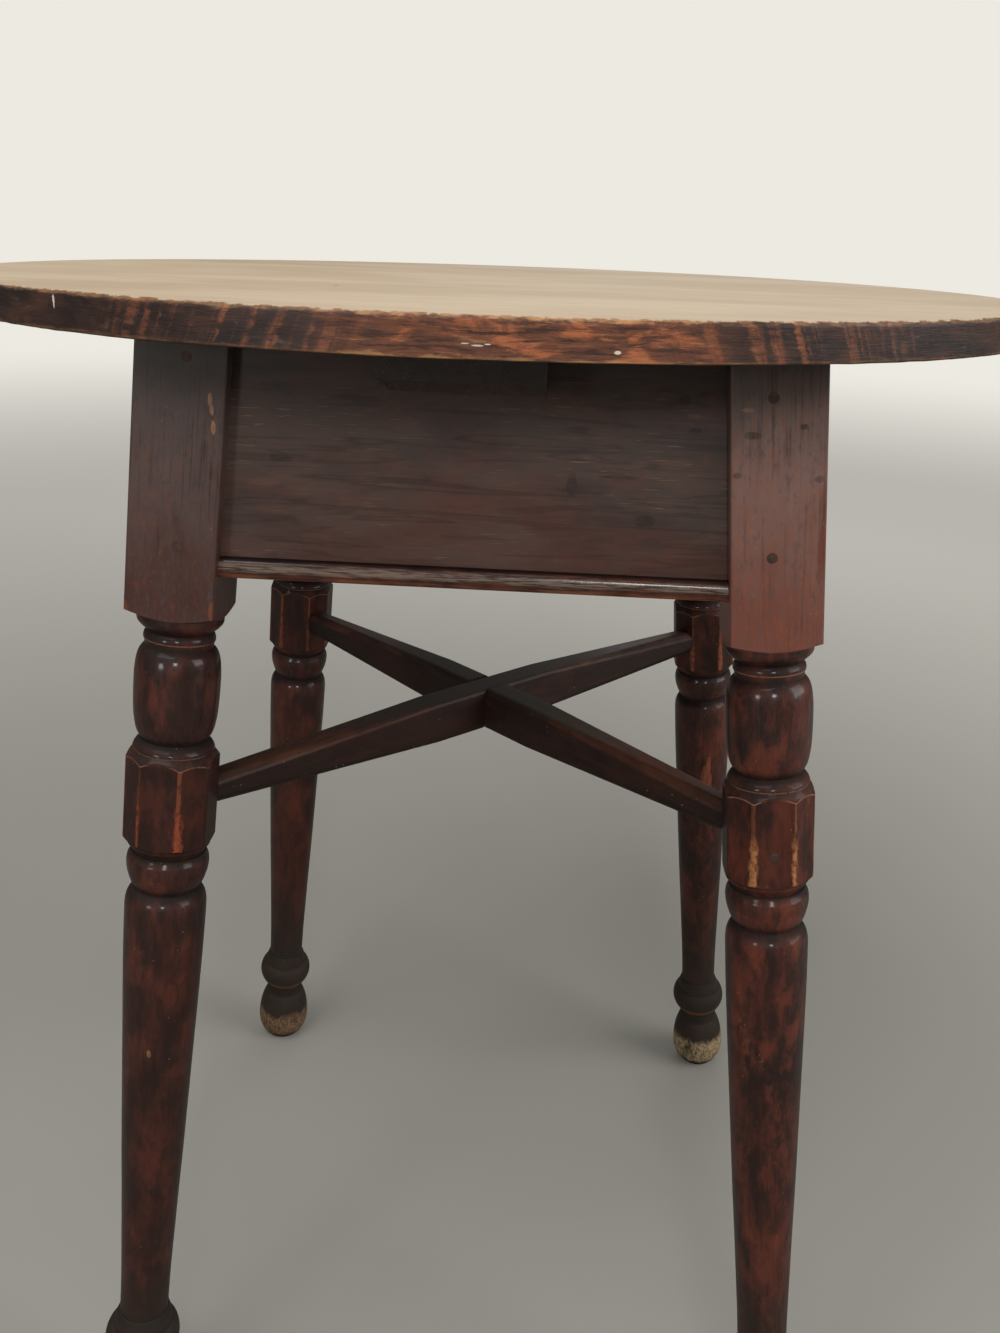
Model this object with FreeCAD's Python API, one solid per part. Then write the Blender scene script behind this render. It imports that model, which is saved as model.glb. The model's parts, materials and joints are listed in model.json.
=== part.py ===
"""Small round-topped tavern table on four splayed, turned legs.

The boarded top lies on a square frame of four aprons and one notched bearer. Each leg is turned from
square stock: a block takes the apron tenons, an octagonal block takes the round end of a halved cross
stretcher, and the rest is vase, rings, tapered column and ball foot.

Millimetres, +Z up, the front faces -Y, origin on the floor under the middle of the top.
"""

import FreeCAD, Part
import math
import os

# ---- overall -------------------------------------------------------------------------------------
TABLE_HEIGHT = 708.0
TOP_DIAMETER = 594.0
TOP_THICKNESS = 16.0
TOP_UPPER_EASING = 2.5
TOP_LOWER_EASING = 1.5
MIDDLE_BOARD_WIDTH = 190.0
MIDDLE_BOARD_OFFSET = -3.0
LEG_SPACING_AT_TOP = 279.4
LEG_SPLAY_DEGREES = 5.11

# ---- legs: sections and radii ----------------------------------------------------------------------
LEG_STOCK = 45.6
OCTAGON_CHAMFER = 12.0
TURNING_ALLOWANCE = 0.4
BLANK_ALLOWANCE = 2.0
COLLAR_ROOT_RADIUS = 17.2
BEAD_RING_RADIUS = 18.4
VASE_TOP_RADIUS = 17.8
VASE_SHOULDER_RADIUS = 22.4
VASE_BELLY_RADIUS = 21.8
VASE_FOOT_RADIUS = 18.0
CAP_RING_RADIUS = 21.5
OCTAGON_NECK_RADIUS = 19.8
LOWER_RING_RADIUS = 22.2
GROOVE_RADIUS = 18.2
COLUMN_TOP_RADIUS = 22.3
COLUMN_WAIST_RADIUS = 17.9
COLUMN_FOOT_RADIUS = 14.5
COLUMN_SWELL = 0.4
COLUMN_HOLLOW = 0.4
ANKLE_FILLET_RADIUS = 15.6
ANKLE_RING_TOP_RADIUS = 17.4
ANKLE_RING_RADIUS = 22.2
ANKLE_NECK_RADIUS = 16.2
BALL_RADIUS = 22.6
SOLE_RADIUS = 15.0
FOOT_SWELL = 2.2

# ---- legs: heights of the turned members, along the leg ----------------------------------------------
BLOCK_BELOW_APRON = 23.9
POMMEL_HEIGHT = 3.0
POMMEL_STEEPNESS = 1.6
COLLAR_HEIGHT = 5.1
COLLAR_HOLLOW_HEIGHT = 4.5
BEAD_RING_HEIGHT = 8.0
VASE_SHOULDER_HEIGHT = 16.5
VASE_BELLY_HEIGHT = 23.0
VASE_FOOT_HEIGHT = 11.5
CAP_RING_HEIGHT = 6.5
CAP_SHOULDER_HEIGHT = 1.6
OCTAGON_HEIGHT = 51.7
OCTAGON_SHOULDER_HEIGHT = 4.0
OCTAGON_LAND_HEIGHT = 1.4
OCTAGON_COVE_HEIGHT = 5.4
LOWER_RING_UPPER_HEIGHT = 5.8
LOWER_RING_UNDER_HEIGHT = 15.6
COLUMN_SHOULDER_HEIGHT = 11.1
COLUMN_WAIST_HEIGHT = 115.0
ANKLE_FILLET_HEIGHT = 7.0
ANKLE_RING_UPPER_HEIGHT = 15.1
ANKLE_RING_UNDER_HEIGHT = 12.9
ANKLE_NECK_HEIGHT = 9.4
BALL_UPPER_HEIGHT = 30.0
BALL_UNDER_HEIGHT = 19.5
SOLE_HEIGHT = 1.5

# ---- aprons, their joints and mouldings --------------------------------------------------------------
APRON_HEIGHT = 125.0
APRON_THICKNESS = 22.0
APRON_SETBACK = 8.5
TENON_THICKNESS = 8.0
TENON_FACE_SHOULDER = 3.5
TENON_LOWER_SHOULDER = 7.0
TENON_HAUNCH = 8.0
BEAD_HEIGHT = 11.0
BEAD_PROUD = 3.6
PEG_SIZE = 5.0
PEG_LENGTH = 26.0
PEG_FROM_SHOULDER = 20.0
PEG_FROM_EDGE = 17.0
PEG_STAGGER = 8.0
PIN_SIZE = 1.5
PIN_LENGTH = 13.0
PIN_SPACING = 78.0
PIN_SET_BACK = 0.3

# ---- bearer and top fixings --------------------------------------------------------------------------
BEARER_WIDTH = 80.0
BEARER_THICKNESS = 26.5
BEARER_OFFSET = -6.5
BEARER_OVERHANG = 32.0
BEARER_END_CHAMFER = 5.0
BROKEN_CORNER_WIDTH = 10.0
BROKEN_CORNER_HEIGHT = 9.0
NAIL_SIZE = 3.2
NAIL_HEAD = 7.0
NAIL_HEAD_THICKNESS = 1.2
NAIL_SHORT_OF_SURFACE = 6.0
NAIL_FROM_BEARER_EDGE = 16.0
TOP_PEG_SIZE = 6.0
TOP_PEG_BITE = 24.0
TOP_PEG_SPACING = 146.0
TOP_PEG_FROM_INNER_FACE = 8.5

# ---- cross stretchers --------------------------------------------------------------------------------
STRETCHER_THICKNESS = 20.0
STRETCHER_DEPTH = 28.5
STRETCHER_ARRIS = 1.2
STRETCHER_STRAIGHT = 96.0
STRETCHER_END_SIZE = 16.4
STRETCHER_BELOW_OCTAGON_MIDDLE = 2.92
ROUND_TENON_SHOULDER = 1.2
ROUND_TENON_PAST_AXIS = 8.0

# ---- fits ----------------------------------------------------------------------------------------------
CLEARANCE = 0.1
TENON_END_GAP = 0.5
PEG_END_GAP = 1.0

# ---- worked out from the above -------------------------------------------------------------------------
TOP_UNDERSIDE = TABLE_HEIGHT - TOP_THICKNESS
APRON_BOTTOM = TOP_UNDERSIDE - APRON_HEIGHT
SLOPE = math.tan(math.radians(LEG_SPLAY_DEGREES))
LEAN = math.hypot(1.0, SLOPE)
AXIS_STRETCH = math.sqrt(1.0 + 2.0 * SLOPE ** 2)
HALF_SPACING_AT_FLOOR = LEG_SPACING_AT_TOP / 2.0 + SLOPE * TOP_UNDERSIDE
HALF_STOCK = LEG_STOCK / 2.0
TURNED_LAND_RADIUS = HALF_STOCK - TURNING_ALLOWANCE
BLOCK_CORNER_RADIUS = HALF_STOCK * math.sqrt(2.0)
OCTAGON_CORNER_RADIUS = math.hypot(HALF_STOCK, HALF_STOCK - OCTAGON_CHAMFER)
OCTAGON_CHAMFER_DISTANCE = (LEG_STOCK - OCTAGON_CHAMFER) / math.sqrt(2.0) * LEAN
APRON_OUTER = HALF_STOCK - APRON_SETBACK
APRON_INNER = APRON_OUTER - APRON_THICKNESS
TENON_OUTER = APRON_OUTER - TENON_FACE_SHOULDER
TENON_INNER = TENON_OUTER - TENON_THICKNESS
ROUND_TENON_DIAMETER = STRETCHER_END_SIZE - 2.0 * ROUND_TENON_SHOULDER
FAR = TOP_DIAMETER

PEG_HOLE = PEG_SIZE + 2.0 * CLEARANCE
TOP_PEG_HOLE = TOP_PEG_SIZE + 2.0 * CLEARANCE

# stations along the leg, from the floor, in the order they are met going down
LEG_TOP = TOP_UNDERSIDE * AXIS_STRETCH
BLOCK_END = (APRON_BOTTOM - BLOCK_BELOW_APRON) * AXIS_STRETCH
COLLAR_END = BLOCK_END - COLLAR_HEIGHT
COLLAR_ROOT = COLLAR_END - COLLAR_HOLLOW_HEIGHT
BEAD_RING = COLLAR_ROOT - BEAD_RING_HEIGHT / 2.0
VASE_TOP = BEAD_RING - BEAD_RING_HEIGHT / 2.0
VASE_SHOULDER = VASE_TOP - VASE_SHOULDER_HEIGHT
VASE_BELLY = VASE_SHOULDER - VASE_BELLY_HEIGHT
VASE_END = VASE_BELLY - VASE_FOOT_HEIGHT
CAP_RING_END = VASE_END - CAP_RING_HEIGHT
OCTAGON_TOP = CAP_RING_END - CAP_SHOULDER_HEIGHT
OCTAGON_END = OCTAGON_TOP - OCTAGON_HEIGHT
OCTAGON_LAND_END = OCTAGON_END - OCTAGON_LAND_HEIGHT
OCTAGON_NECK = OCTAGON_LAND_END - OCTAGON_COVE_HEIGHT
LOWER_RING = OCTAGON_NECK - LOWER_RING_UPPER_HEIGHT
GROOVE = LOWER_RING - LOWER_RING_UNDER_HEIGHT
COLUMN_TOP = GROOVE - COLUMN_SHOULDER_HEIGHT
BALL = SOLE_HEIGHT + BALL_UNDER_HEIGHT
BALL_TOP = BALL + BALL_UPPER_HEIGHT
ANKLE_RING_END = BALL_TOP + ANKLE_NECK_HEIGHT
ANKLE_RING = ANKLE_RING_END + ANKLE_RING_UNDER_HEIGHT
ANKLE_RING_TOP = ANKLE_RING + ANKLE_RING_UPPER_HEIGHT
COLUMN_END = ANKLE_RING_TOP + ANKLE_FILLET_HEIGHT
COLUMN_WAIST = COLUMN_END + COLUMN_WAIST_HEIGHT
STRETCHER_HEIGHT = ((OCTAGON_TOP + OCTAGON_END) / 2.0) / AXIS_STRETCH - STRETCHER_BELOW_OCTAGON_MIDDLE


def vec(x, y, z):
    """A point or direction."""
    return FreeCAD.Vector(x, y, z)


def spread(z):
    """Distance of a leg's axis from the table's middle, along X and along Y, at height z."""
    return HALF_SPACING_AT_FLOOR - SLOPE * z


def prism(points, direction):
    """A closed polygon, extruded along a direction."""
    wire = Part.makePolygon(list(points) + [points[0]])
    return Part.Face(wire).extrude(direction)


def whittled_rod(across_flats, length, mouth, direction):
    """An eight-sided rod, such as a whittled peg, from a mouth along a direction."""
    along = FreeCAD.Vector(direction).normalize()
    aside = along.cross(vec(0, 0, 1)) if abs(along.z) < 0.9 else vec(1, 0, 0)
    up = aside.normalize().cross(along)
    radius = across_flats / 2.0 / math.cos(math.radians(22.5))
    corners = []
    for index in range(8):
        angle = math.radians(22.5 + 45.0 * index)
        corners.append(mouth + aside * (radius * math.cos(angle)) + up * (radius * math.sin(angle)))
    return prism(corners, along * length)


def quarter_turns(shape, turns):
    """The shape turned about the table's middle by a number of right angles."""
    turned = shape.copy()
    turned.rotate(vec(0, 0, 0), vec(0, 0, 1), 90.0 * turns)
    return turned


def group(solids):
    """Separate solids kept in one part."""
    return Part.makeCompound(solids)


# ---- legs ------------------------------------------------------------------------------------------------

class TurnedProfile:
    """Half of a turned outline, drawn upwards from the sole with lines and arcs."""

    def __init__(self, radius, height):
        self.edges = []
        self.first = vec(radius, 0, height)
        self.last = self.first

    def line(self, radius, height):
        """A straight cut to a radius at a height."""
        point = vec(radius, 0, height)
        self.edges.append(Part.makeLine(self.last, point))
        self.last = point

    def curve(self, radius, height, bulge):
        """An arc to a radius at a height; a positive bulge swells outwards, a negative one is hollow."""
        end = vec(radius, 0, height)
        chord = end - self.last
        outwards = vec(chord.z, 0, -chord.x).normalize()
        middle = self.last + chord * 0.5 + outwards * bulge
        self.edges.append(Part.Arc(self.last, middle, end).toShape())
        self.last = end

    def swell(self, radius, height):
        """An arc to a radius at a height that runs along the axis at its fatter end."""
        rise = abs(height - self.last.z)
        fall = abs(radius - self.last.x)
        bulge = math.hypot(rise, fall) / 2.0 * math.tan(math.atan2(fall, rise) / 2.0)
        self.curve(radius, height, bulge)

    def revolve(self):
        """The outline closed on the axis and turned about it."""
        top = vec(0, 0, self.last.z)
        bottom = vec(0, 0, self.first.z)
        axis = Part.makeLine(top, bottom)
        closing = [Part.makeLine(self.last, top), axis, Part.makeLine(bottom, self.first)]
        face = Part.Face(Part.Wire(self.edges + closing))
        return face.revolve(vec(0, 0, 0), vec(0, 0, 1), 360.0)


def turned_leg():
    """The leg as it comes off the lathe, upright on its own axis, still round where the blocks will be."""
    blank = BLOCK_CORNER_RADIUS * AXIS_STRETCH + BLANK_ALLOWANCE
    octagon_blank = OCTAGON_CORNER_RADIUS * AXIS_STRETCH + BLANK_ALLOWANCE / 2.0
    margin = 2.0 * SLOPE * LEG_STOCK

    leg = TurnedProfile(SOLE_RADIUS, -margin)
    leg.line(SOLE_RADIUS, SOLE_HEIGHT)
    leg.curve(BALL_RADIUS, BALL, FOOT_SWELL)
    leg.swell(ANKLE_NECK_RADIUS, BALL_TOP)
    leg.line(ANKLE_NECK_RADIUS, ANKLE_RING_END)
    leg.swell(ANKLE_RING_RADIUS, ANKLE_RING)
    leg.swell(ANKLE_RING_TOP_RADIUS, ANKLE_RING_TOP)
    leg.line(ANKLE_FILLET_RADIUS, COLUMN_END)
    leg.line(COLUMN_FOOT_RADIUS, COLUMN_END)
    leg.curve(COLUMN_WAIST_RADIUS, COLUMN_WAIST, -COLUMN_HOLLOW)
    leg.curve(COLUMN_TOP_RADIUS, COLUMN_TOP, COLUMN_SWELL)
    leg.swell(GROOVE_RADIUS, GROOVE)
    leg.swell(LOWER_RING_RADIUS, LOWER_RING)
    leg.line(OCTAGON_NECK_RADIUS, OCTAGON_NECK)
    leg.line(TURNED_LAND_RADIUS, OCTAGON_LAND_END)
    leg.line(TURNED_LAND_RADIUS, OCTAGON_END)
    leg.line(octagon_blank, OCTAGON_END + POMMEL_HEIGHT)
    leg.line(octagon_blank, OCTAGON_TOP - OCTAGON_SHOULDER_HEIGHT)
    leg.line(TURNED_LAND_RADIUS, OCTAGON_TOP)
    leg.line(CAP_RING_RADIUS, OCTAGON_TOP + CAP_SHOULDER_HEIGHT)
    leg.line(VASE_FOOT_RADIUS, VASE_END)
    leg.swell(VASE_BELLY_RADIUS, VASE_BELLY)
    leg.swell(VASE_SHOULDER_RADIUS, VASE_SHOULDER)
    leg.swell(VASE_TOP_RADIUS, VASE_TOP)
    leg.line(BEAD_RING_RADIUS, BEAD_RING)
    leg.line(COLLAR_ROOT_RADIUS, COLLAR_ROOT)
    leg.line(TURNED_LAND_RADIUS, COLLAR_END)
    leg.line(TURNED_LAND_RADIUS, BLOCK_END)
    leg.line(blank, BLOCK_END + POMMEL_HEIGHT * POMMEL_STEEPNESS)
    leg.line(blank, LEG_TOP + margin)
    return leg.revolve()


def stock_outline(chamfer, z):
    """Section of the right front leg's stock at height z, with its arrises chamfered where wanted."""
    half = HALF_STOCK * LEAN
    x = spread(z)
    y = -spread(z)
    if chamfer == 0.0:
        corners = [(half, half), (-half, half), (-half, -half), (half, -half)]
    else:
        flat = half - chamfer
        corners = [(half, flat), (flat, half), (-flat, half), (-half, flat),
                   (-half, -flat), (-flat, -half), (flat, -half), (half, -flat)]
    return [vec(x + dx, y + dy, z) for dx, dy in corners]


def stock(chamfer, z_low, z_high):
    """A length of the right front leg's stock, between two heights."""
    rise = vec(-SLOPE, SLOPE, 1.0) * (z_high - z_low)
    return prism(stock_outline(chamfer, z_low), rise)


def leg_envelope():
    """The right front leg's faceted shape: octagonal up to the vase, square above it, level at both ends."""
    vase_middle = (VASE_TOP + VASE_END) / 2.0 / AXIS_STRETCH
    octagonal = stock(OCTAGON_CHAMFER, 0.0, vase_middle)
    square = stock(0.0, vase_middle, TOP_UNDERSIDE)
    return octagonal.fuse(square)


def leg_blank():
    """The right front leg before its mortises are cut."""
    leg = turned_leg()
    lean = FreeCAD.Rotation(vec(0, 0, 1), vec(-SLOPE, SLOPE, 1.0))
    foot = vec(HALF_SPACING_AT_FLOOR, -HALF_SPACING_AT_FLOOR, 0)
    leg.Placement = FreeCAD.Placement(foot, lean)
    return leg.common(leg_envelope())


# ---- aprons ----------------------------------------------------------------------------------------------

def front_slab(outer, inner, z_low, z_high):
    """A long board leaning with the legs' front faces, between two offsets from their axes."""
    corners = []
    for offset, z in ((outer, z_low), (outer, z_high), (inner, z_high), (inner, z_low)):
        corners.append(vec(-FAR, -spread(z) - offset * LEAN, z))
    return prism(corners, vec(2.0 * FAR, 0, 0))


def between_blocks(z_low, z_high):
    """All the space between the inner faces of a left and a right leg."""
    low = spread(z_low) - HALF_STOCK * LEAN
    high = spread(z_high) - HALF_STOCK * LEAN
    corners = [vec(-low, -FAR, z_low), vec(low, -FAR, z_low),
               vec(high, -FAR, z_high), vec(-high, -FAR, z_high)]
    return prism(corners, vec(0, 2.0 * FAR, 0))


def front_quadrant(gap):
    """The quarter of the plan that faces the front, held back from its mitre lines by a gap."""
    corners = [vec(0, -gap, 0), vec(FAR, -FAR - gap, 0), vec(-FAR, -FAR - gap, 0)]
    return prism(corners, vec(0, 0, TABLE_HEIGHT))


def tenon_board(clearance, gap):
    """Both tenons of the front apron as one board, mitred inside the legs against the side tenons."""
    low = APRON_BOTTOM + TENON_LOWER_SHOULDER - clearance
    high = TOP_UNDERSIDE - TENON_HAUNCH + clearance
    board = front_slab(TENON_OUTER + clearance, TENON_INNER - clearance, low, high)
    return board.common(front_quadrant(gap))


def peg_heights():
    """Heights of the pegs at the left and at the right end of an apron, seen from outside."""
    low = APRON_BOTTOM + PEG_FROM_EDGE
    high = TOP_UNDERSIDE - PEG_FROM_EDGE - PEG_STAGGER
    return [(-1, low), (-1, high + PEG_STAGGER), (1, low + PEG_STAGGER), (1, high)]


def apron_peg_rods(across_flats, length):
    """Rods on the axes of the front apron's pegs, square to the legs' front faces."""
    inwards = vec(0, 1.0, -SLOPE)
    rods = []
    for side, z in peg_heights():
        x = side * (spread(z) - HALF_STOCK * LEAN + PEG_FROM_SHOULDER)
        mouth = vec(x, -spread(z) - HALF_STOCK * LEAN, z)
        rods.append(whittled_rod(across_flats, length, mouth, inwards))
    return rods


def front_apron():
    """Front apron with its two mitred, pegged tenons."""
    board = front_slab(APRON_OUTER, APRON_INNER, APRON_BOTTOM, TOP_UNDERSIDE)
    board = board.common(between_blocks(APRON_BOTTOM, TOP_UNDERSIDE))
    board = board.fuse(tenon_board(0.0, TENON_END_GAP))
    for rod in apron_peg_rods(PEG_HOLE, PEG_LENGTH + PEG_END_GAP):
        board = board.cut(rod)
    return board.removeSplitter()


def bead_moulding():
    """Half-round bead planted on the front apron's face, along its lower edge."""
    lower_y = -spread(APRON_BOTTOM) - APRON_OUTER * LEAN
    upper_y = -spread(APRON_BOTTOM + BEAD_HEIGHT) - APRON_OUTER * LEAN
    lower = vec(-FAR, lower_y, APRON_BOTTOM)
    upper = vec(-FAR, upper_y, APRON_BOTTOM + BEAD_HEIGHT)
    nose = (lower + upper) * 0.5 + vec(0, -1.0, -SLOPE) * (BEAD_PROUD / LEAN)
    section = Part.Wire([Part.Arc(lower, nose, upper).toShape(), Part.makeLine(upper, lower)])
    strip = Part.Face(section).extrude(vec(2.0 * FAR, 0, 0))
    return strip.common(between_blocks(APRON_BOTTOM, APRON_BOTTOM + BEAD_HEIGHT))


def bead_pin_rods(size):
    """Square cut pins through the front bead into its apron."""
    z = APRON_BOTTOM + BEAD_HEIGHT / 2.0
    face = -spread(z) - APRON_OUTER * LEAN - BEAD_PROUD + PIN_SET_BACK
    rods = []
    for place in (-1, 0, 1):
        x = place * PIN_SPACING - size / 2.0
        rods.append(Part.makeBox(size, PIN_LENGTH, size, vec(x, face, z - size / 2.0)))
    return rods


# ---- bearer ----------------------------------------------------------------------------------------------

def bearer_reach():
    """How far each end of the bearer stands from the table's middle."""
    return spread(TOP_UNDERSIDE) + APRON_OUTER * LEAN + BEARER_OVERHANG


def bearer():
    """Bearer from front to back under the boards, with bevelled ends and one broken corner."""
    reach = bearer_reach()
    low = TOP_UNDERSIDE - BEARER_THICKNESS
    left = BEARER_OFFSET - BEARER_WIDTH / 2.0
    bevel = BEARER_END_CHAMFER
    profile = [(-reach, TOP_UNDERSIDE), (-reach, low + bevel), (-reach + bevel, low),
               (reach - bevel, low), (reach, low + bevel), (reach, TOP_UNDERSIDE)]
    body = prism([vec(left, y, z) for y, z in profile], vec(BEARER_WIDTH, 0, 0))
    past = BROKEN_CORNER_WIDTH * 0.1
    broken = [vec(left - past, 0, low - past), vec(left + BROKEN_CORNER_WIDTH, 0, low - past),
              vec(left + BROKEN_CORNER_WIDTH * 0.9, 0, low + BROKEN_CORNER_HEIGHT * 0.5),
              vec(left - past, 0, low + BROKEN_CORNER_HEIGHT)]
    chip = prism(broken, vec(0, -BEARER_OVERHANG * 0.6, 0))
    chip.translate(vec(0, -reach + BEARER_OVERHANG * 0.5, 0))
    return body.cut(chip)


def bearer_notch():
    """Space that the bearer takes out of the aprons' upper edges."""
    corner = vec(BEARER_OFFSET - BEARER_WIDTH / 2.0, -FAR, TOP_UNDERSIDE - BEARER_THICKNESS)
    return Part.makeBox(BEARER_WIDTH, 2.0 * FAR, BEARER_THICKNESS, corner)


def bearer_nails():
    """Square cut nails up through the bearer into the three boards, the outer ones midway to the aprons."""
    low = TOP_UNDERSIDE - BEARER_THICKNESS
    front_joint = MIDDLE_BOARD_OFFSET - MIDDLE_BOARD_WIDTH / 2.0
    back_joint = MIDDLE_BOARD_OFFSET + MIDDLE_BOARD_WIDTH / 2.0
    apron_inside = spread(low) + APRON_INNER * LEAN
    half_row = BEARER_WIDTH / 2.0 - NAIL_FROM_BEARER_EDGE
    reach = BEARER_THICKNESS + TOP_THICKNESS - NAIL_SHORT_OF_SURFACE
    nails = []
    for y in ((front_joint - apron_inside) / 2.0, MIDDLE_BOARD_OFFSET, (back_joint + apron_inside) / 2.0):
        for x in (BEARER_OFFSET - half_row, BEARER_OFFSET + half_row):
            shank = square_rod(x, y, low, NAIL_SIZE, reach)
            head = square_rod(x, y, low - NAIL_HEAD_THICKNESS, NAIL_HEAD, NAIL_HEAD_THICKNESS)
            nails.append(shank.fuse(head))
    return nails


def square_rod(x, y, z, size, length):
    """An upright square rod centred on x and y."""
    return Part.makeBox(size, size, length, vec(x - size / 2.0, y - size / 2.0, z))


# ---- top -------------------------------------------------------------------------------------------------

def top_disc():
    """The whole round top with eased arrises, before it is parted into boards."""
    radius = TOP_DIAMETER / 2.0
    outline = [vec(0, 0, TOP_UNDERSIDE),
               vec(radius - TOP_LOWER_EASING, 0, TOP_UNDERSIDE),
               vec(radius, 0, TOP_UNDERSIDE + TOP_LOWER_EASING),
               vec(radius, 0, TABLE_HEIGHT - TOP_UPPER_EASING),
               vec(radius - TOP_UPPER_EASING, 0, TABLE_HEIGHT),
               vec(0, 0, TABLE_HEIGHT)]
    wire = Part.makePolygon(outline + [outline[0]])
    return Part.Face(wire).revolve(vec(0, 0, 0), vec(0, 0, 1), 360.0)


def top_peg_rods(across_flats, length):
    """Rods on the axes of the pegs that hold the boards down on the front and back aprons."""
    y = spread(TOP_UNDERSIDE) + APRON_INNER * LEAN + TOP_PEG_FROM_INNER_FACE
    rods = []
    for x in (-TOP_PEG_SPACING / 2.0, TOP_PEG_SPACING / 2.0):
        for side in (-1, 1):
            rods.append(whittled_rod(across_flats, length, vec(x, side * y, TABLE_HEIGHT), vec(0, 0, -1)))
    return rods


def top_boards():
    """Front, middle and back boards, butted edge to edge, bored for the pegs and nails."""
    disc = top_disc()
    front_joint = MIDDLE_BOARD_OFFSET - MIDDLE_BOARD_WIDTH / 2.0
    back_joint = MIDDLE_BOARD_OFFSET + MIDDLE_BOARD_WIDTH / 2.0
    edges = {
        "front": (-FAR, front_joint),
        "middle": (front_joint, back_joint),
        "back": (back_joint, FAR),
    }
    rods = top_peg_rods(TOP_PEG_HOLE, TOP_THICKNESS + TOP_PEG_BITE)
    boards = {}
    for name, (low, high) in edges.items():
        strip = Part.makeBox(2.0 * FAR, high - low, TOP_THICKNESS, vec(-FAR, low, TOP_UNDERSIDE))
        board = disc.common(strip)
        for tool in rods + bearer_nails():
            board = board.cut(tool)
        boards[name] = board
    return boards


# ---- cross stretchers ------------------------------------------------------------------------------------

def stretcher_section(x, width, height, chamfer):
    """Corners of a chamfered rectangle across the X axis, centred on the stretcher's middle line."""
    y = width / 2.0
    z = height / 2.0
    corners = [(y, z - chamfer), (y - chamfer, z), (chamfer - y, z), (-y, z - chamfer),
               (-y, chamfer - z), (chamfer - y, -z), (y - chamfer, -z), (y, chamfer - z)]
    return [vec(x, across, level) for across, level in corners]


def worked_bar(sections):
    """A solid through several sections with as many corners each, worked flat between them."""
    faces = [Part.Face(Part.makePolygon(ring + [ring[0]])) for ring in (sections[0], sections[-1])]
    for near, far in zip(sections, sections[1:]):
        for index, corner in enumerate(near):
            after = (index + 1) % len(near)
            quad = [corner, near[after], far[after], far[index], corner]
            faces.append(Part.Face(Part.makePolygon(quad)))
    return Part.Solid(Part.makeShell(faces))


def stretcher_bar(face_distance):
    """The bar along X: deep in the middle, its chamfers widening until both ends are eight-sided."""
    end = STRETCHER_END_SIZE
    end_chamfer = end * (1.0 - math.tan(math.radians(22.5))) / 2.0
    tip = face_distance + end
    shoulder = STRETCHER_STRAIGHT / 2.0
    return worked_bar([
        stretcher_section(-tip, end, end, end_chamfer),
        stretcher_section(-shoulder, STRETCHER_THICKNESS, STRETCHER_DEPTH, STRETCHER_ARRIS),
        stretcher_section(shoulder, STRETCHER_THICKNESS, STRETCHER_DEPTH, STRETCHER_ARRIS),
        stretcher_section(tip, end, end, end_chamfer),
    ])


def stretcher(notch_above, legs):
    """A stretcher along X through two legs, cut to them, with round tenons and half of the halving."""
    axis_distance = spread(STRETCHER_HEIGHT) * math.sqrt(2.0)
    face_distance = axis_distance - OCTAGON_CHAMFER_DISTANCE
    bar = stretcher_bar(face_distance)
    bar.translate(vec(0, 0, STRETCHER_HEIGHT))
    for leg in legs:
        bar = bar.cut(leg)
    bar = bar.fuse(round_tenon_rod(0.0))
    half = STRETCHER_THICKNESS / 2.0
    bottom = STRETCHER_HEIGHT if notch_above else STRETCHER_HEIGHT - STRETCHER_DEPTH
    notch = Part.makeBox(2.0 * half, 2.0 * STRETCHER_THICKNESS, STRETCHER_DEPTH,
                         vec(-half, -STRETCHER_THICKNESS, bottom))
    return bar.cut(notch).removeSplitter()


def round_tenon_rod(clearance):
    """Rod along X through both legs' mortises for the round tenons of one stretcher."""
    reach = spread(STRETCHER_HEIGHT) * math.sqrt(2.0) + ROUND_TENON_PAST_AXIS + 5.0 * clearance
    start = vec(-reach, 0, STRETCHER_HEIGHT)
    return Part.makeCylinder(ROUND_TENON_DIAMETER / 2.0 + clearance, 2.0 * reach, start, vec(1, 0, 0))


def turned_about(shape, degrees):
    """The shape turned about the table's middle."""
    copy = shape.copy()
    copy.rotate(vec(0, 0, 0), vec(0, 0, 1), degrees)
    return copy


def stretcher_peg_rod(across_flats, length):
    """Rod of the peg that holds a stretcher's tenon in the right front leg, square to its front flat."""
    z = STRETCHER_HEIGHT - PEG_SIZE / 2.0
    mouth = vec(spread(z), -spread(z) - HALF_STOCK * LEAN, z)
    return whittled_rod(across_flats, length, mouth, vec(0, 1.0, -SLOPE))


# ---- the assembly ----------------------------------------------------------------------------------------

SIDES = {"front": 0, "right": 1, "back": 2, "left": 3}
CORNERS = {"front_right": 0, "back_right": 1, "back_left": 2, "front_left": 3}


def cut_leg():
    """The right front leg with its mortises and peg holes."""
    leg = leg_blank()
    deep = PEG_LENGTH + PEG_END_GAP
    for turns in (0, 1):
        leg = leg.cut(quarter_turns(tenon_board(CLEARANCE, 0.0), turns))
        for rod in apron_peg_rods(PEG_HOLE, deep):
            leg = leg.cut(quarter_turns(rod, turns))
    leg = leg.cut(turned_about(round_tenon_rod(CLEARANCE), -45.0))
    return leg.cut(stretcher_peg_rod(PEG_HOLE, deep))


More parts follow.
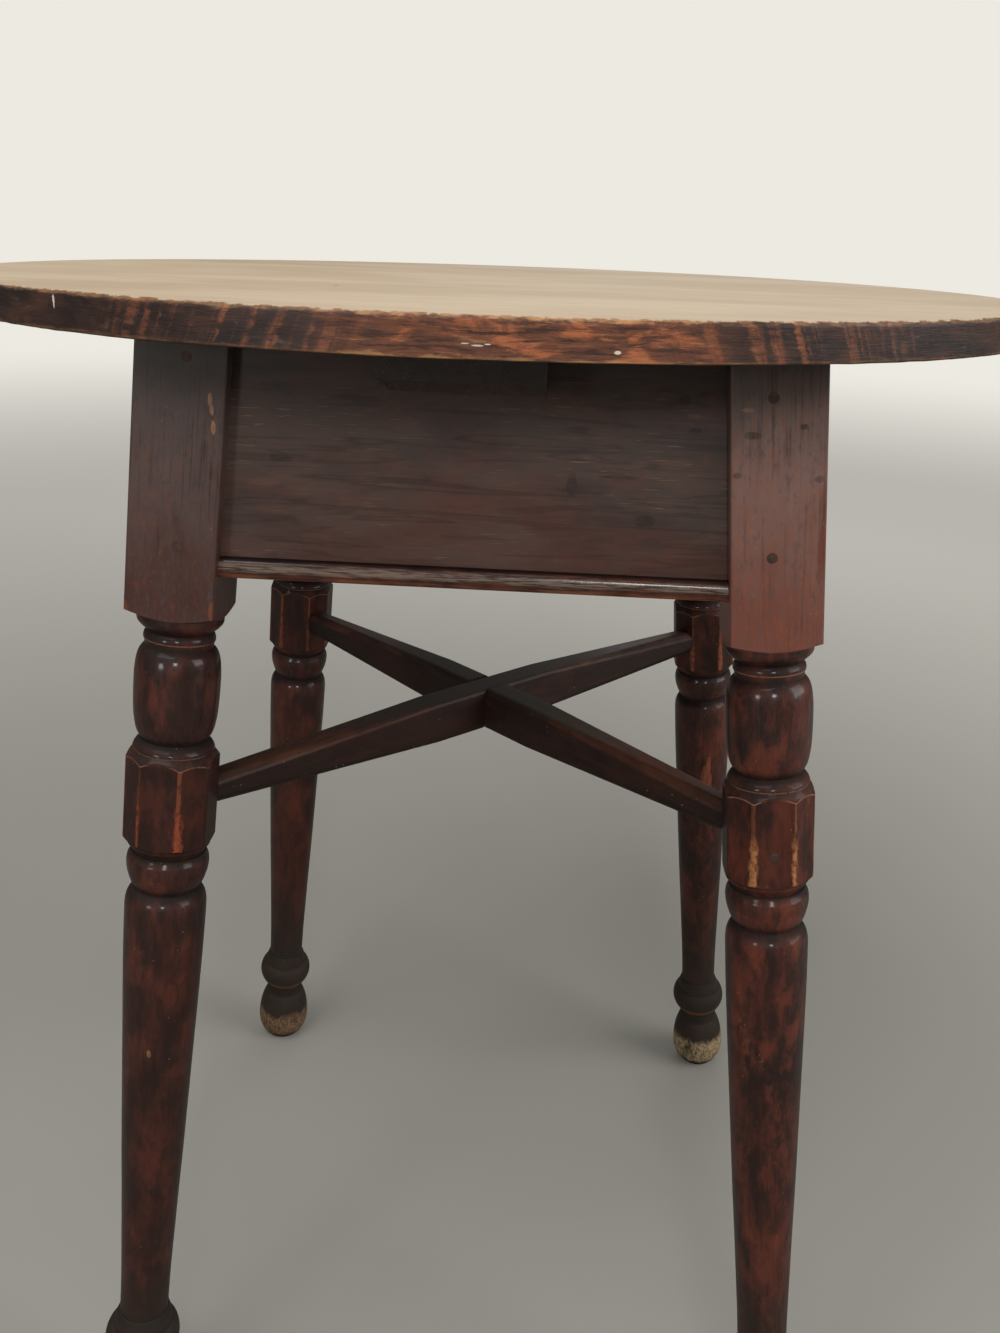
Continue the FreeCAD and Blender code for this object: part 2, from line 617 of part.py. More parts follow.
def build():
    """Every node of the table, by name."""
    nodes = {}
    leg = cut_leg()
    for name, turns in CORNERS.items():
        nodes["leg_" + name] = quarter_turns(leg, turns)

    apron = front_apron()
    bead = bead_moulding()
    pin_holes = bead_pin_rods(PIN_SIZE + 2.0 * CLEARANCE)
    pins = bead_pin_rods(PIN_SIZE)
    for rod in pin_holes:
        apron = apron.cut(rod)
        bead = bead.cut(rod)
    top_holes = top_peg_rods(TOP_PEG_HOLE, TOP_THICKNESS + TOP_PEG_BITE + PEG_END_GAP)
    for name, turns in SIDES.items():
        board = quarter_turns(apron, turns)
        if name in ("front", "back"):
            for tool in [bearer_notch()] + top_holes:
                board = board.cut(tool)
        nodes["apron_" + name] = board
        nodes["bead_" + name] = quarter_turns(bead, turns)

    apron_pegs = []
    bead_pins = []
    stretcher_pegs = []
    for turns in range(4):
        for rod in apron_peg_rods(PEG_SIZE, PEG_LENGTH):
            apron_pegs.append(quarter_turns(rod, turns))
        for pin in pins:
            bead_pins.append(quarter_turns(pin, turns))
        stretcher_pegs.append(quarter_turns(stretcher_peg_rod(PEG_SIZE, PEG_LENGTH), turns))
    nodes["apron_pegs"] = group(apron_pegs)
    nodes["bead_pins"] = group(bead_pins)
    nodes["stretcher_pegs"] = group(stretcher_pegs)

    octagon = stock(OCTAGON_CHAMFER, 0.0, TOP_UNDERSIDE)
    ends = [turned_about(octagon, 45.0), turned_about(octagon, 225.0)]
    lower = stretcher(True, ends)
    upper = stretcher(False, ends)
    peg_hole = stretcher_peg_rod(PEG_HOLE, PEG_LENGTH + PEG_END_GAP)
    nodes["stretcher_lower"] = turned_about(lower, -45.0)
    nodes["stretcher_upper"] = turned_about(upper, 45.0)
    for turns in range(4):
        name = "stretcher_lower" if turns % 2 == 0 else "stretcher_upper"
        nodes[name] = nodes[name].cut(quarter_turns(peg_hole, turns))

    nails = bearer_nails()
    beam = bearer()
    for nail in nails:
        beam = beam.cut(nail)
    nodes["bearer"] = beam
    nodes["bearer_nails"] = group(nails)
    nodes["top_pegs"] = group(top_peg_rods(TOP_PEG_SIZE, TOP_THICKNESS + TOP_PEG_BITE))
    for name, board in top_boards().items():
        nodes["top_board_" + name] = board
    return nodes


def main():
    """Write one STEP file for each node."""
    os.makedirs("parts", exist_ok=True)
    for name, shape in build().items():
        if not shape.isValid():
            print("not valid:", name)
        print(f"{name:20s} solids {len(shape.Solids):2d}  volume {shape.Volume:12.0f}")
        shape.exportStep(f"parts/{name}.step")


main()
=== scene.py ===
"""Looks of a small round tavern table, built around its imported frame.

The legs, boards, bearer, beads and cross stretchers are modelled here in full and stand for their frame
nodes. The aprons, pegs, pins and nails are the frame's own nodes with a finish of their own.

Lengths are in millimetres up to the point where a piece is made, and in metres in the scene: +Z up, the
front faces -Y, origin on the floor under the middle of the top. NEAR is how close a point has to lie to a
plane to count as on it.
"""

import json
import logging
import math
from collections.abc import Callable, Iterator, Sequence
from contextlib import contextmanager
from copy import copy
from dataclasses import dataclass, field
from enum import Enum

import bmesh
import bpy
from mathutils import Matrix, Vector

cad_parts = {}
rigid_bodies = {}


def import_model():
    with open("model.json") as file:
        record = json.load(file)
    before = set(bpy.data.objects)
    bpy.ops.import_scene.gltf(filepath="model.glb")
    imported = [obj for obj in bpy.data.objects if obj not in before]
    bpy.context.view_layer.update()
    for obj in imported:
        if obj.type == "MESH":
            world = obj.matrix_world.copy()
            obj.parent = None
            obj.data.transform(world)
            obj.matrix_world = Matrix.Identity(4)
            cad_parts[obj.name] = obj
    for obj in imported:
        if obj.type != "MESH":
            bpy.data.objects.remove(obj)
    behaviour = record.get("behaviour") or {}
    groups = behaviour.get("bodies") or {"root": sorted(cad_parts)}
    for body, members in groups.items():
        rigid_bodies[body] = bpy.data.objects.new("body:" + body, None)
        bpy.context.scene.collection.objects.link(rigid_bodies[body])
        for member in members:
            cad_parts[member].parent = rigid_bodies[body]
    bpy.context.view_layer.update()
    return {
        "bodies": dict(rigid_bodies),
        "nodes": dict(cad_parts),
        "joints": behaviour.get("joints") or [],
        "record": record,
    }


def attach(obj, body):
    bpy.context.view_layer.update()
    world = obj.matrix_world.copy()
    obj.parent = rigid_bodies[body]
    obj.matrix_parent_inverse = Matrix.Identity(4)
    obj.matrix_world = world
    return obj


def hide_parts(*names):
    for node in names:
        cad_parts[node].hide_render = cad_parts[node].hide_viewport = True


LOG = logging.getLogger("tavern_table")

MM = 0.001
NEAR = 0.1
BODY = "root"

# ---- sizes shared with the frame, in millimetres -------------------------------------------------
TABLE_HEIGHT = 708.0
TOP_RADIUS = 297.0
TOP_THICKNESS = 16.0
TOP_UNDERSIDE = TABLE_HEIGHT - TOP_THICKNESS
APRON_BOTTOM = TOP_UNDERSIDE - 125.0
SLOPE = math.tan(math.radians(5.11))
LEAN = math.hypot(1.0, SLOPE)
SPREAD_AT_FLOOR = 139.7 + SLOPE * TOP_UNDERSIDE
HALF_STOCK = 22.8
STOCK_IN_PLAN = HALF_STOCK * LEAN
OCTAGON_CHAMFER = 12.0
APRON_FACE = 14.3 * LEAN
STRETCHER_HEIGHT = 438.39
FRONT_JOINT = -98.0
BACK_JOINT = 92.0

SIDES = ("front", "right", "back", "left")

Colour = tuple[float, float, float, float]
Place = Sequence[float]
Band = tuple[float, float, float]


def spread(height: float) -> float:
    """Distance of a leg's axis from the table's middle, along X and along Y."""
    return SPREAD_AT_FLOOR - SLOPE * height


def paint(red: float, green: float, blue: float) -> Colour:
    """A linear colour from the display values 0 to 255.

    Args:
        red: How red it is.
        green: How green it is.
        blue: How blue it is.

    Returns:
        The colour, with a full alpha.
    """
    values = (v / 255 for v in (red, green, blue))
    linear = [((v + 0.055) / 1.055) ** 2.4 if v > 10 / 255 else v / 12.92 for v in values]
    return (*linear, 1.0)


# ==== modelling by hand ===========================================================================


class Element(Enum):
    """What an edit-mode selection is made of."""

    VERTEX = "VERT"
    EDGE = "EDGE"
    FACE = "FACE"


def take(*pieces: bpy.types.Object) -> bpy.types.Object:
    """Select only these objects and make the first one active.

    Args:
        pieces: The objects to select.

    Returns:
        The active object.
    """
    bpy.ops.object.select_all(action="DESELECT")
    for piece in pieces:
        piece.select_set(True)
    bpy.context.view_layer.objects.active = pieces[0]
    return pieces[0]


@contextmanager
def at_work(piece: bpy.types.Object, element: Element) -> Iterator[None]:
    """Hold a piece in edit mode with nothing selected.

    Args:
        piece: The object to edit.
        element: What its selections are made of.
    """
    take(piece)
    bpy.ops.object.mode_set(mode="EDIT")
    bpy.ops.mesh.select_mode(type=element.value)
    bpy.ops.mesh.select_all(action="DESELECT")
    try:
        yield
    finally:
        bpy.ops.object.mode_set(mode="OBJECT")


def pick(piece: bpy.types.Object, element: Element, wanted: Callable[..., bool]) -> None:
    """Select the parts of a piece in edit mode that pass a test on their place.

    Args:
        piece: The object in edit mode.
        element: Vertices are tested by their place, edges by their ends, faces by middle and normal.
        wanted: The test, in millimetres.
    """
    mesh = bmesh.from_edit_mesh(piece.data)
    for part in (*mesh.verts, *mesh.edges, *mesh.faces):
        part.select_set(False)
    scale = 1.0 / MM
    if element is Element.VERTEX:
        chosen = [v for v in mesh.verts if wanted(v.co * scale)]
    elif element is Element.EDGE:
        chosen = [e for e in mesh.edges if wanted(e.verts[0].co * scale, e.verts[1].co * scale)]
    else:
        chosen = [f for f in mesh.faces if wanted(f.calc_center_median() * scale, f.normal)]
    for part in chosen:
        part.select_set(True)
    mesh.select_flush_mode()
    bmesh.update_edit_mesh(piece.data)


def settle(piece: bpy.types.Object) -> bpy.types.Object:
    """Put a piece's place, turn and size into its mesh.

    Args:
        piece: The object.

    Returns:
        The same object.
    """
    take(piece)
    bpy.ops.object.transform_apply(location=True, rotation=True, scale=True)
    return piece


def block(name: str, low: Sequence[float], high: Sequence[float]) -> bpy.types.Object:
    """A squared block between two corners.

    Args:
        name: The object's name.
        low: Its lowest corner, in millimetres.
        high: Its highest corner, in millimetres.

    Returns:
        The new object, with its place in its mesh.
    """
    bpy.ops.object.select_all(action="DESELECT")
    middle = [(a + b) / 2 * MM for a, b in zip(low, high)]
    bpy.ops.mesh.primitive_cube_add(size=1.0, location=middle)
    piece = bpy.context.object
    piece.name = name
    piece.scale = [(b - a) * MM for a, b in zip(low, high)]
    return settle(piece)


def rod(
    name: str, radius: float, length: float, middle: Sequence[float], along: Vector, sides: int
) -> bpy.types.Object:
    """A round rod about a line.

    Args:
        name: The object's name.
        radius: Its radius, in millimetres.
        length: Its length, in millimetres.
        middle: The middle of its length, in millimetres.
        along: The direction of its axis.
        sides: How many flats stand for the round.

    Returns:
        The new object, with its place in its mesh.
    """
    bpy.ops.object.select_all(action="DESELECT")
    turn = Vector(along).to_track_quat("Z", "Y").to_euler()
    bpy.ops.mesh.primitive_cylinder_add(
        vertices=sides,
        radius=radius * MM,
        depth=length * MM,
        location=[v * MM for v in middle],
        rotation=turn,
    )
    piece = bpy.context.object
    piece.name = name
    return settle(piece)


def joined(*pieces: bpy.types.Object) -> bpy.types.Object:
    """Make several objects into one.

    Args:
        pieces: The objects, of which the first one gives its name.

    Returns:
        The one object.
    """
    take(*pieces)
    bpy.ops.object.join()
    return bpy.context.object


def apply_modifier(piece: bpy.types.Object, kind: str, **settings: object) -> None:
    """Add a modifier, set it and apply it at once.

    Args:
        piece: The object that it works on.
        kind: The modifier's type.
        settings: Its values.
    """
    take(piece)
    bpy.ops.object.modifier_add(type=kind)
    modifier = piece.modifiers[-1]
    for key, value in settings.items():
        setattr(modifier, key, value)
    bpy.ops.object.modifier_apply(modifier=modifier.name)


def carve(piece: bpy.types.Object, tool: bpy.types.Object, operation: str) -> None:
    """Work one solid with another and throw the tool away.

    Args:
        piece: The solid that stays.
        tool: The solid that is used up.
        operation: DIFFERENCE, INTERSECT or UNION.
    """
    apply_modifier(piece, "BOOLEAN", operation=operation, object=tool, solver="MANIFOLD")
    bpy.data.objects.remove(tool)


def saw(piece: bpy.types.Object, point: Sequence[float], off_side: Sequence[float]) -> None:
    """Saw a closed piece through a plane and keep the side that the direction points away from.

    Args:
        piece: The object to cut.
        point: A point of the plane, in millimetres.
        off_side: The plane's normal, which points at the waste.
    """
    with at_work(piece, Element.FACE):
        bpy.ops.mesh.select_all(action="SELECT")
        bpy.ops.mesh.bisect(
            plane_co=[v * MM for v in point],
            plane_no=off_side,
            use_fill=True,
            clear_outer=True,
            threshold=1e-7,
        )


def score(piece: bpy.types.Object, point: Sequence[float], normal: Sequence[float]) -> None:
    """Lay a row of edges round a piece where a plane meets it, with nothing taken away.

    Args:
        piece: The object to score.
        point: A point of the plane, in millimetres.
        normal: The plane's normal.
    """
    with at_work(piece, Element.FACE):
        bpy.ops.mesh.select_all(action="SELECT")
        bpy.ops.mesh.bisect(plane_co=[v * MM for v in point], plane_no=normal, threshold=1e-7)


def bevel_edges(
    piece: bpy.types.Object, wanted: Callable[[Vector, Vector], bool], width: float, segments: int = 1
) -> None:
    """Bevel the edges whose two ends pass a test.

    Args:
        piece: The object to bevel.
        wanted: The test, in millimetres.
        width: How far each side is cut back, in millimetres.
        segments: How many flats it gets.
    """
    with at_work(piece, Element.EDGE):
        pick(piece, Element.EDGE, wanted)
        bpy.ops.mesh.bevel(offset_type="OFFSET", offset=width * MM, segments=segments, affect="EDGES")


def nudge(piece: bpy.types.Object, wanted: Callable[[Vector], bool], move: Sequence[float]) -> None:
    """Move the vertices that pass a test.

    Args:
        piece: The object to edit.
        wanted: The test, in millimetres.
        move: How far they move, in millimetres.
    """
    with at_work(piece, Element.VERTEX):
        pick(piece, Element.VERTEX, wanted)
        bpy.ops.transform.translate(value=[v * MM for v in move])


def ease(piece: bpy.types.Object, width: float, segments: int, degrees: float) -> None:
    """Round off every edge that is sharper than an angle.

    Args:
        piece: The object to ease.
        width: How far each side is cut back, in millimetres.
        segments: How many flats stand for the round.
        degrees: The angle.
    """
    apply_modifier(
        piece,
        "BEVEL",
        width=width * MM,
        segments=segments,
        limit_method="ANGLE",
        angle_limit=math.radians(degrees),
    )


def smooth(piece: bpy.types.Object, degrees: float) -> None:
    """Shade a piece round except at edges sharper than an angle, with its flat faces kept flat.

    Args:
        piece: The object to shade.
        degrees: The angle.
    """
    take(piece)
    bpy.ops.object.shade_smooth_by_angle(angle=math.radians(degrees))
    apply_modifier(piece, "WEIGHTED_NORMAL", keep_sharp=True, weight=80)


def copy_of(piece: bpy.types.Object, name: str, quarter_turns: int) -> bpy.types.Object:
    """A copy with a mesh of its own, turned about the table's middle.

    Args:
        piece: The object to copy.
        name: The copy's name.
        quarter_turns: How many right angles it is turned by.

    Returns:
        The copy, with its turn in its mesh.
    """
    take(piece)
    bpy.ops.object.duplicate(linked=False)
    twin = bpy.context.object
    twin.name = name
    twin.rotation_euler = (0.0, 0.0, math.radians(90.0 * quarter_turns))
    return settle(twin)


def fit(piece: bpy.types.Object, node: str, material: bpy.types.Material) -> None:
    """Give a finished piece its material and put it in a frame node's place.

    Args:
        piece: The finished object.
        node: The frame node that it stands for.
        material: Its material.
    """
    piece.data.materials.clear()
    piece.data.materials.append(material)
    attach(piece, BODY)
    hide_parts(node)
    LOG.info("%s stands for %s, %d faces", piece.name, node, len(piece.data.polygons))


# ==== finishes ====================================================================================


@dataclass(frozen=True)
class Pattern:
    """A kind of noise.

    Attributes:
        scale: Features to the metre along X, Y and Z.
        detail: How many finer layers it has.
        roughness: How strong they are.
        swirl: How far it is distorted.
        shift: What sets it apart from a surface's other patterns.
    """

    scale: Place
    detail: float = 4.0
    roughness: float = 0.5
    swirl: float = 0.0
    shift: float = 0.0


class Wire:
    """A number that varies over a surface, which Python's operators work on."""

    def __init__(self, owner: "NodeTree", socket: bpy.types.NodeSocket) -> None:
        """Keep the socket and the tree that it belongs to."""
        self.owner = owner
        self.socket = socket

    def _with(self, operation: str, *values: "Wire | float") -> "Wire":
        """The result of one Math node on these values."""
        return self.owner.node("ShaderNodeMath", {"operation": operation}, dict(enumerate(values)))

    def __add__(self, other: "Wire | float") -> "Wire":
        """Sum."""
        return self._with("ADD", self, other)

    __radd__ = __add__

    def __sub__(self, other: "Wire | float") -> "Wire":
        """Difference."""
        return self._with("SUBTRACT", self, other)

    def __rsub__(self, other: float) -> "Wire":
        """Difference from a number."""
        return self._with("SUBTRACT", other, self)

    def __mul__(self, other: "Wire | float") -> "Wire":
        """Product."""
        return self._with("MULTIPLY", self, other)

    __rmul__ = __mul__

    def __truediv__(self, other: "Wire | float") -> "Wire":
        """Quotient."""
        return self._with("DIVIDE", self, other)

    def __pow__(self, power: float) -> "Wire":
        """Power."""
        return self._with("POWER", self, power)

    def __abs__(self) -> "Wire":
        """Size without its sign."""
        return self._with("ABSOLUTE", self)

    def least(self, other: "Wire | float") -> "Wire":
        """The smaller of two values."""
        return self._with("MINIMUM", self, other)

    def most(self, other: "Wire | float") -> "Wire":
        """The larger of two values."""
        return self._with("MAXIMUM", self, other)

    def arctan2(self, other: "Wire") -> "Wire":
        """The angle, in radians, whose sine goes with this value and whose cosine goes with another."""
        return self._with("ARCTAN2", self, other)

    def rise(self, low: float, high: float) -> "Wire":
        """0 at and before the first value, 1 from the second on, smooth between; they may fall."""
        return self.owner.node(
            "ShaderNodeMapRange",
            {"interpolation_type": "SMOOTHSTEP"},
            {"Value": self, "From Min": low, "From Max": high},
        )


class NodeTree:
    """A node tree under construction, with one output node."""

    def __init__(self, tree: bpy.types.NodeTree, output: str) -> None:
        """Empty a tree and give it an output node.

        Args:
            tree: The tree.
            output: The output node's type.
        """
        self.tree = tree
        self.tree.nodes.clear()
        self.output = self.tree.nodes.new(output)

    def node(
        self,
        kind: str,
        settings: dict[str, object] | None = None,
        values: dict[str | int, object] | None = None,
        output: str | int = 0,
    ) -> Wire:
        """Add a node and return one of its outputs.

        Args:
            kind: The node's type.
            settings: Its own settings; "stops" is a ramp's list of positions and colours.
            values: What its sockets hold: numbers, colours, vectors or other nodes' outputs.
            output: The output that is wanted.

        Returns:
            That output.
        """
        node = self.tree.nodes.new(kind)
        for key, value in (settings or {}).items():
            if key == "stops":
                self._set_stops(node.color_ramp, value)
            else:
                setattr(node, key, value)
        for key, value in (values or {}).items():
            if isinstance(value, Wire):
                self.tree.links.new(value.socket, node.inputs[key])
            else:
                node.inputs[key].default_value = value
        return Wire(self, node.outputs[output])

    @staticmethod
    def _set_stops(ramp: bpy.types.ColorRamp, stops: Sequence[tuple[float, Colour]]) -> None:
        """Give a ramp its stops, in order."""
        while len(ramp.elements) < len(stops):
            ramp.elements.new(1.0)
        for element, (position, colour) in zip(ramp.elements, stops):
            element.position = position
            element.color = colour

    def close(self, surface: Wire) -> None:
        """Lead a shader to the output."""
        self.tree.links.new(surface.socket, self.output.inputs[0])


class Shader(NodeTree):
    """A material under construction."""

    def __init__(self, name: str) -> None:
        """Start a material with nothing on its surface.

        Args:
            name: The material's name.
        """
        self.material = bpy.data.materials.new(name)
        self.material.use_nodes = True
        super().__init__(self.material.node_tree, "ShaderNodeOutputMaterial")

    def place(self) -> Wire:
        """Where a point is, in the table's frame, in metres."""
        return self.node("ShaderNodeTexCoord", output="Object")

    def local(self, place: Wire, origin: Place, turn: Place) -> Wire:
        """A place measured from an origin along turned axes.

        Args:
            place: The place to measure.
            origin: The new origin, in millimetres.
            turn: The turn of the new axes, as Euler angles.

        Returns:
            The place along the new axes.
        """
        return self.node(
            "ShaderNodeMapping",
            {"vector_type": "TEXTURE"},
            {"Vector": place, "Location": [v * MM for v in origin], "Rotation": turn},
        )

    def split(self, place: Wire) -> list[Wire]:
        """A place's three coordinates, in millimetres."""
        axes = [self.node("ShaderNodeSeparateXYZ", values={0: place}, output=axis) for axis in range(3)]
        return [axis * 1000.0 for axis in axes]

    def vector(self, operation: str, first: Wire, second: Sequence[float]) -> Wire:
        """The result of a Vector Math node on a place and three lengths in millimetres."""
        values = {0: first, 1: [v * MM for v in second]}
        return self.node("ShaderNodeVectorMath", {"operation": operation}, values)

    def length(self, vector: Wire) -> Wire:
        """A vector's length."""
        return self.node("ShaderNodeVectorMath", {"operation": "LENGTH"}, {0: vector}, output="Value")

    def _stretched(self, place: Wire, pattern: Pattern, seed: float) -> Wire:
        """The place in a pattern's own measure, moved by a seed."""
        seed = seed + pattern.shift
        return self.node(
            "ShaderNodeMapping",
            {"vector_type": "POINT"},
            {"Vector": place, "Scale": pattern.scale, "Location": (seed, seed * 1.7, seed * 2.3)},
        )

    def noise(self, place: Wire, pattern: Pattern, seed: float = 0.0) -> Wire:
        """A pattern's noise.

        Args:
            place: Where it is read.
            pattern: The kind of noise.
            seed: A shift that gives each piece a pattern of its own.

        Returns:
            The noise, about 0.25 to 0.75.
        """
        return self.node(
            "ShaderNodeTexNoise",
            values={
                "Vector": self._stretched(place, pattern, seed),
                "Scale": 1.0,
                "Detail": pattern.detail,
                "Roughness": pattern.roughness,
                "Distortion": pattern.swirl,
            },
        )

    def cells(self, place: Wire, pattern: Pattern, seed: float) -> Wire:
        """Distance to the nearest of many scattered points, in cells of a pattern's size."""
        stretched = self._stretched(place, pattern, seed)
        return self.node("ShaderNodeTexVoronoi", values={"Vector": stretched, "Scale": 1.0})

    def spot(self, place: Wire, centre: Place, reach: Place, ragged: Wire | float = 0.5) -> Wire:
        """A mask that is 1 inside an ellipsoid, with a soft and uneven edge.

        Args:
            place: Where it is read.
            centre: The middle, in millimetres.
            reach: Half of its size along each axis, in millimetres.
            ragged: Noise that moves its edge.

        Returns:
            The mask.
        """
        offset = self.vector("SUBTRACT", place, centre)
        distance = self.length(self.vector("DIVIDE", offset, reach))
        return (distance + (ragged - 0.5) * 1.6).rise(1.1, 0.8)

    def bands(self, height: Wire, bands: Sequence[Band]) -> Wire:
        """A value that peaks at some heights.

        A ramp has 256 steps, so a band narrower than about 3 mm comes out wider and lower.

        Args:
            height: The height, in millimetres.
            bands: Each peak's height, half width and value.

        Returns:
            The value.
        """
        stops = []
        for middle, half, peak in sorted(bands):
            stops += [(middle - half, 0.0), (middle, peak), (middle + half, 0.0)]
        stops = [(max(at, 0.0) / TABLE_HEIGHT, (value, value, value, 1.0)) for at, value in stops]
        return self.node("ShaderNodeValToRGB", {"stops": stops}, {0: height / TABLE_HEIGHT})

    def mix(self, amount: Wire | float, first: Wire | Colour, second: Wire | Colour) -> Wire:
        """One colour laid over another.

        Args:
            amount: How much of the second shows.
            first: The colour below.
            second: The colour above.

        Returns:
            The mixed colour.
        """
        return self.node(
            "ShaderNodeMix",
            {"data_type": "RGBA", "clamp_factor": True},
            {0: amount, 6: first, 7: second},
            output=2,
        )

    def facing_up(self) -> Wire:
        """How far the surface faces up, from -1 to 1."""
        normal = self.node("ShaderNodeNewGeometry", output="Normal")
        return self.node("ShaderNodeSeparateXYZ", values={0: normal}, output=2)

    def finish(
        self,
        colour: Wire,
        roughness: Wire,
        height: Wire,
        depth: float,
        coat: Wire | float = 0.0,
        coat_roughness: float = 0.2,
        metallic: Wire | float = 0.0,
    ) -> bpy.types.Material:
        """Close the material.

        Args:
            colour: The surface's colour.
            roughness: Its roughness.
            height: Its relief, 0 to 1.
            depth: What a relief of 1 stands for, in millimetres.
            coat: The weight of its clear varnish.
            coat_roughness: The varnish's own roughness.
            metallic: How metallic it is.

        Returns:
            The material.
        """
        relief = {"Strength": 1.0, "Distance": depth * MM, "Height": height}
        surface = {
            "Base Color": colour,
            "Roughness": roughness,
            "Normal": self.node("ShaderNodeBump", values=relief),
            "Specular IOR Level": 0.28,
            "Coat Weight": coat,
            "Coat Roughness": coat_roughness,
            "Metallic": metallic,
        }
        self.close(self.node("ShaderNodeBsdfPrincipled", values=surface))
        return self.material


@dataclass(frozen=True)
class Mark:
    """A mark of a piece's own: its place and reach in millimetres, and the colour that it leaves."""

    centre: Place
    reach: Place
    colour: Colour
    strength: float = 0.7


class Skin:
    """A surface under construction: where its points lie, and its layers of colour."""

    def __init__(
        self,
        name: str,
        first: Colour,
        seed: float = 0.0,
        origin: Place | None = None,
        turn: Place = (0.0, 0.0, 0.0),
    ) -> None:
        """Start a surface with its lowest layer.

        Args:
            name: The material's name.
            first: The lowest layer's colour.
            seed: A shift that gives each piece patterns of its own.
            origin: Where the grain's axes start, in millimetres, or nothing for the table's own axes.
            turn: The turn that lays X along the grain, as Euler angles.
        """
        self.shader = Shader(name)
        self.place = self.shader.place()
        self.grain = self.place if origin is None else self.shader.local(self.place, origin, turn)
        self.seed = seed
        self.colour: Wire | Colour = first

    def noise(self, *patterns: Pattern) -> Iterator[Wire]:
        """The noise of each pattern, with the piece's own seed."""
        return (self.shader.noise(self.grain, pattern, self.seed) for pattern in patterns)

    def shared_noise(self, *patterns: Pattern) -> Iterator[Wire]:
        """The noise of each pattern where it runs on from piece to piece."""
        return (self.shader.noise(self.grain, pattern) for pattern in patterns)

    def lay(self, amount: Wire | float, colour: Wire | Colour) -> None:
        """Lay a colour over the others; the amount, 0 to 1, says how much of it shows."""
        self.colour = self.shader.mix(amount, self.colour, colour)

    def mark(self, ragged: Wire, marks: Sequence[Mark]) -> None:
        """Lay a piece's own marks over the others.

        Args:
            ragged: Noise that moves the marks' edges.
            marks: The marks.
        """
        for mark in marks:
            shown = self.shader.spot(self.place, mark.centre, mark.reach, ragged) * (ragged * 2.4 - 0.5)
            self.lay(shown * mark.strength, mark.colour)

    def again(self, first: Colour) -> "Skin":
        """Start a second stack of layers on the same surface.

        Args:
            first: Its lowest layer's colour.

        Returns:
            The second stack.
        """
        twin = copy(self)
        twin.colour = first
        return twin


@dataclass(frozen=True)
class StainedWood:
    """Old red-brown stain under varnish, worn to orange wood where hands and feet rub."""

    dark: Colour = paint(40, 20, 16)
    red: Colour = paint(94, 42, 29)
    warm: Colour = paint(128, 68, 44)
    flame: Colour = paint(116, 54, 36)
    worn: Colour = paint(152, 88, 54)
    pale: Colour = paint(188, 148, 110)
    grime: Colour = paint(23, 20, 17)
    # Painted shade: grey laid on the leg blocks towards the table top.
    block_top_shade: Colour = paint(62, 59, 57)
    bloom: Colour = paint(106, 90, 82)
    dust: Colour = paint(60, 56, 48)
    film: Colour = paint(40, 31, 25)
    soot: Colour = paint(47, 42, 35)
    knocked: Colour = paint(122, 76, 50)

    fibre = Pattern((26, 330, 330), 7.0, 0.66, 0.25)
    growth = Pattern((4.0, 90, 90), 4.0, 0.6, 0.8, 5)
    mottle = Pattern((50, 110, 110), 6.0, 0.7, 0.6, 11)
    cloud = Pattern((10, 28, 28), 3.0, 0.55, 0.4, 13)
    pores = Pattern((75, 900, 900), 3.0, 0.65, 0.0, 17)
    speck = Pattern((620, 760, 760), 3.0, 0.7, 0.0, 19)

    def ground(self, skin: Skin, warmth: float, striped: float) -> Wire:
        """Lay the stained wood before any wear.

        Args:
            skin: The surface, with nothing on it.
            warmth: 0 for the darkest pieces, 1 for the most orange.
            striped: How clearly the grain shows, 0 to 1.

        Returns:
            The relief of its fibres.
        """
        fibre, growth, mottle, cloud, pores, speck = skin.noise(
            self.fibre, self.growth, self.mottle, self.cloud, self.pores, self.speck
        )
        tone = (mottle * 0.55 + cloud * 0.45).rise(0.42, 0.6)
        skin.lay(tone * (0.75 + 0.25 * warmth), self.red)
        skin.lay(growth.rise(0.48, 0.7) * (striped * (0.3 + 0.45 * warmth)), self.warm)
        skin.lay(fibre.rise(0.5, 0.7) * (0.7 * striped), self.warm)
        skin.lay(fibre.rise(0.5, 0.3) * (0.2 + 0.5 * striped), self.dark)
        skin.lay(pores.rise(0.56, 0.68) * 0.6, self.grime)
        skin.lay(speck.rise(0.58, 0.72) * 0.13, self.bloom)
        return fibre * 0.6 + growth * 0.2 + pores * 0.2


@dataclass(frozen=True)
class LegLook:
    """What sets one leg's finish apart from the others'."""

    warmth: float
    block: Colour
    low_block: Colour
    arris: Colour
    shade: float = 0.0
    foot: Colour = paint(182, 158, 120)
    worn_side: tuple[float, float] = (0.0, -1.0)
    dusty: float = 230.0
    marks: tuple[Mark, ...] = ()


@dataclass(frozen=True)
class LegSurvey:
    """Where a leg's points lie, and the noises and masks that its layers share."""

    look: LegLook
    height: Wire
    east: Wire
    north: Wire
    radius: Wire
    side: Wire
    upward: Wire
    ragged: Wire
    patch: Wire
    pits: Wire
    block: Wire
    turning: Wire


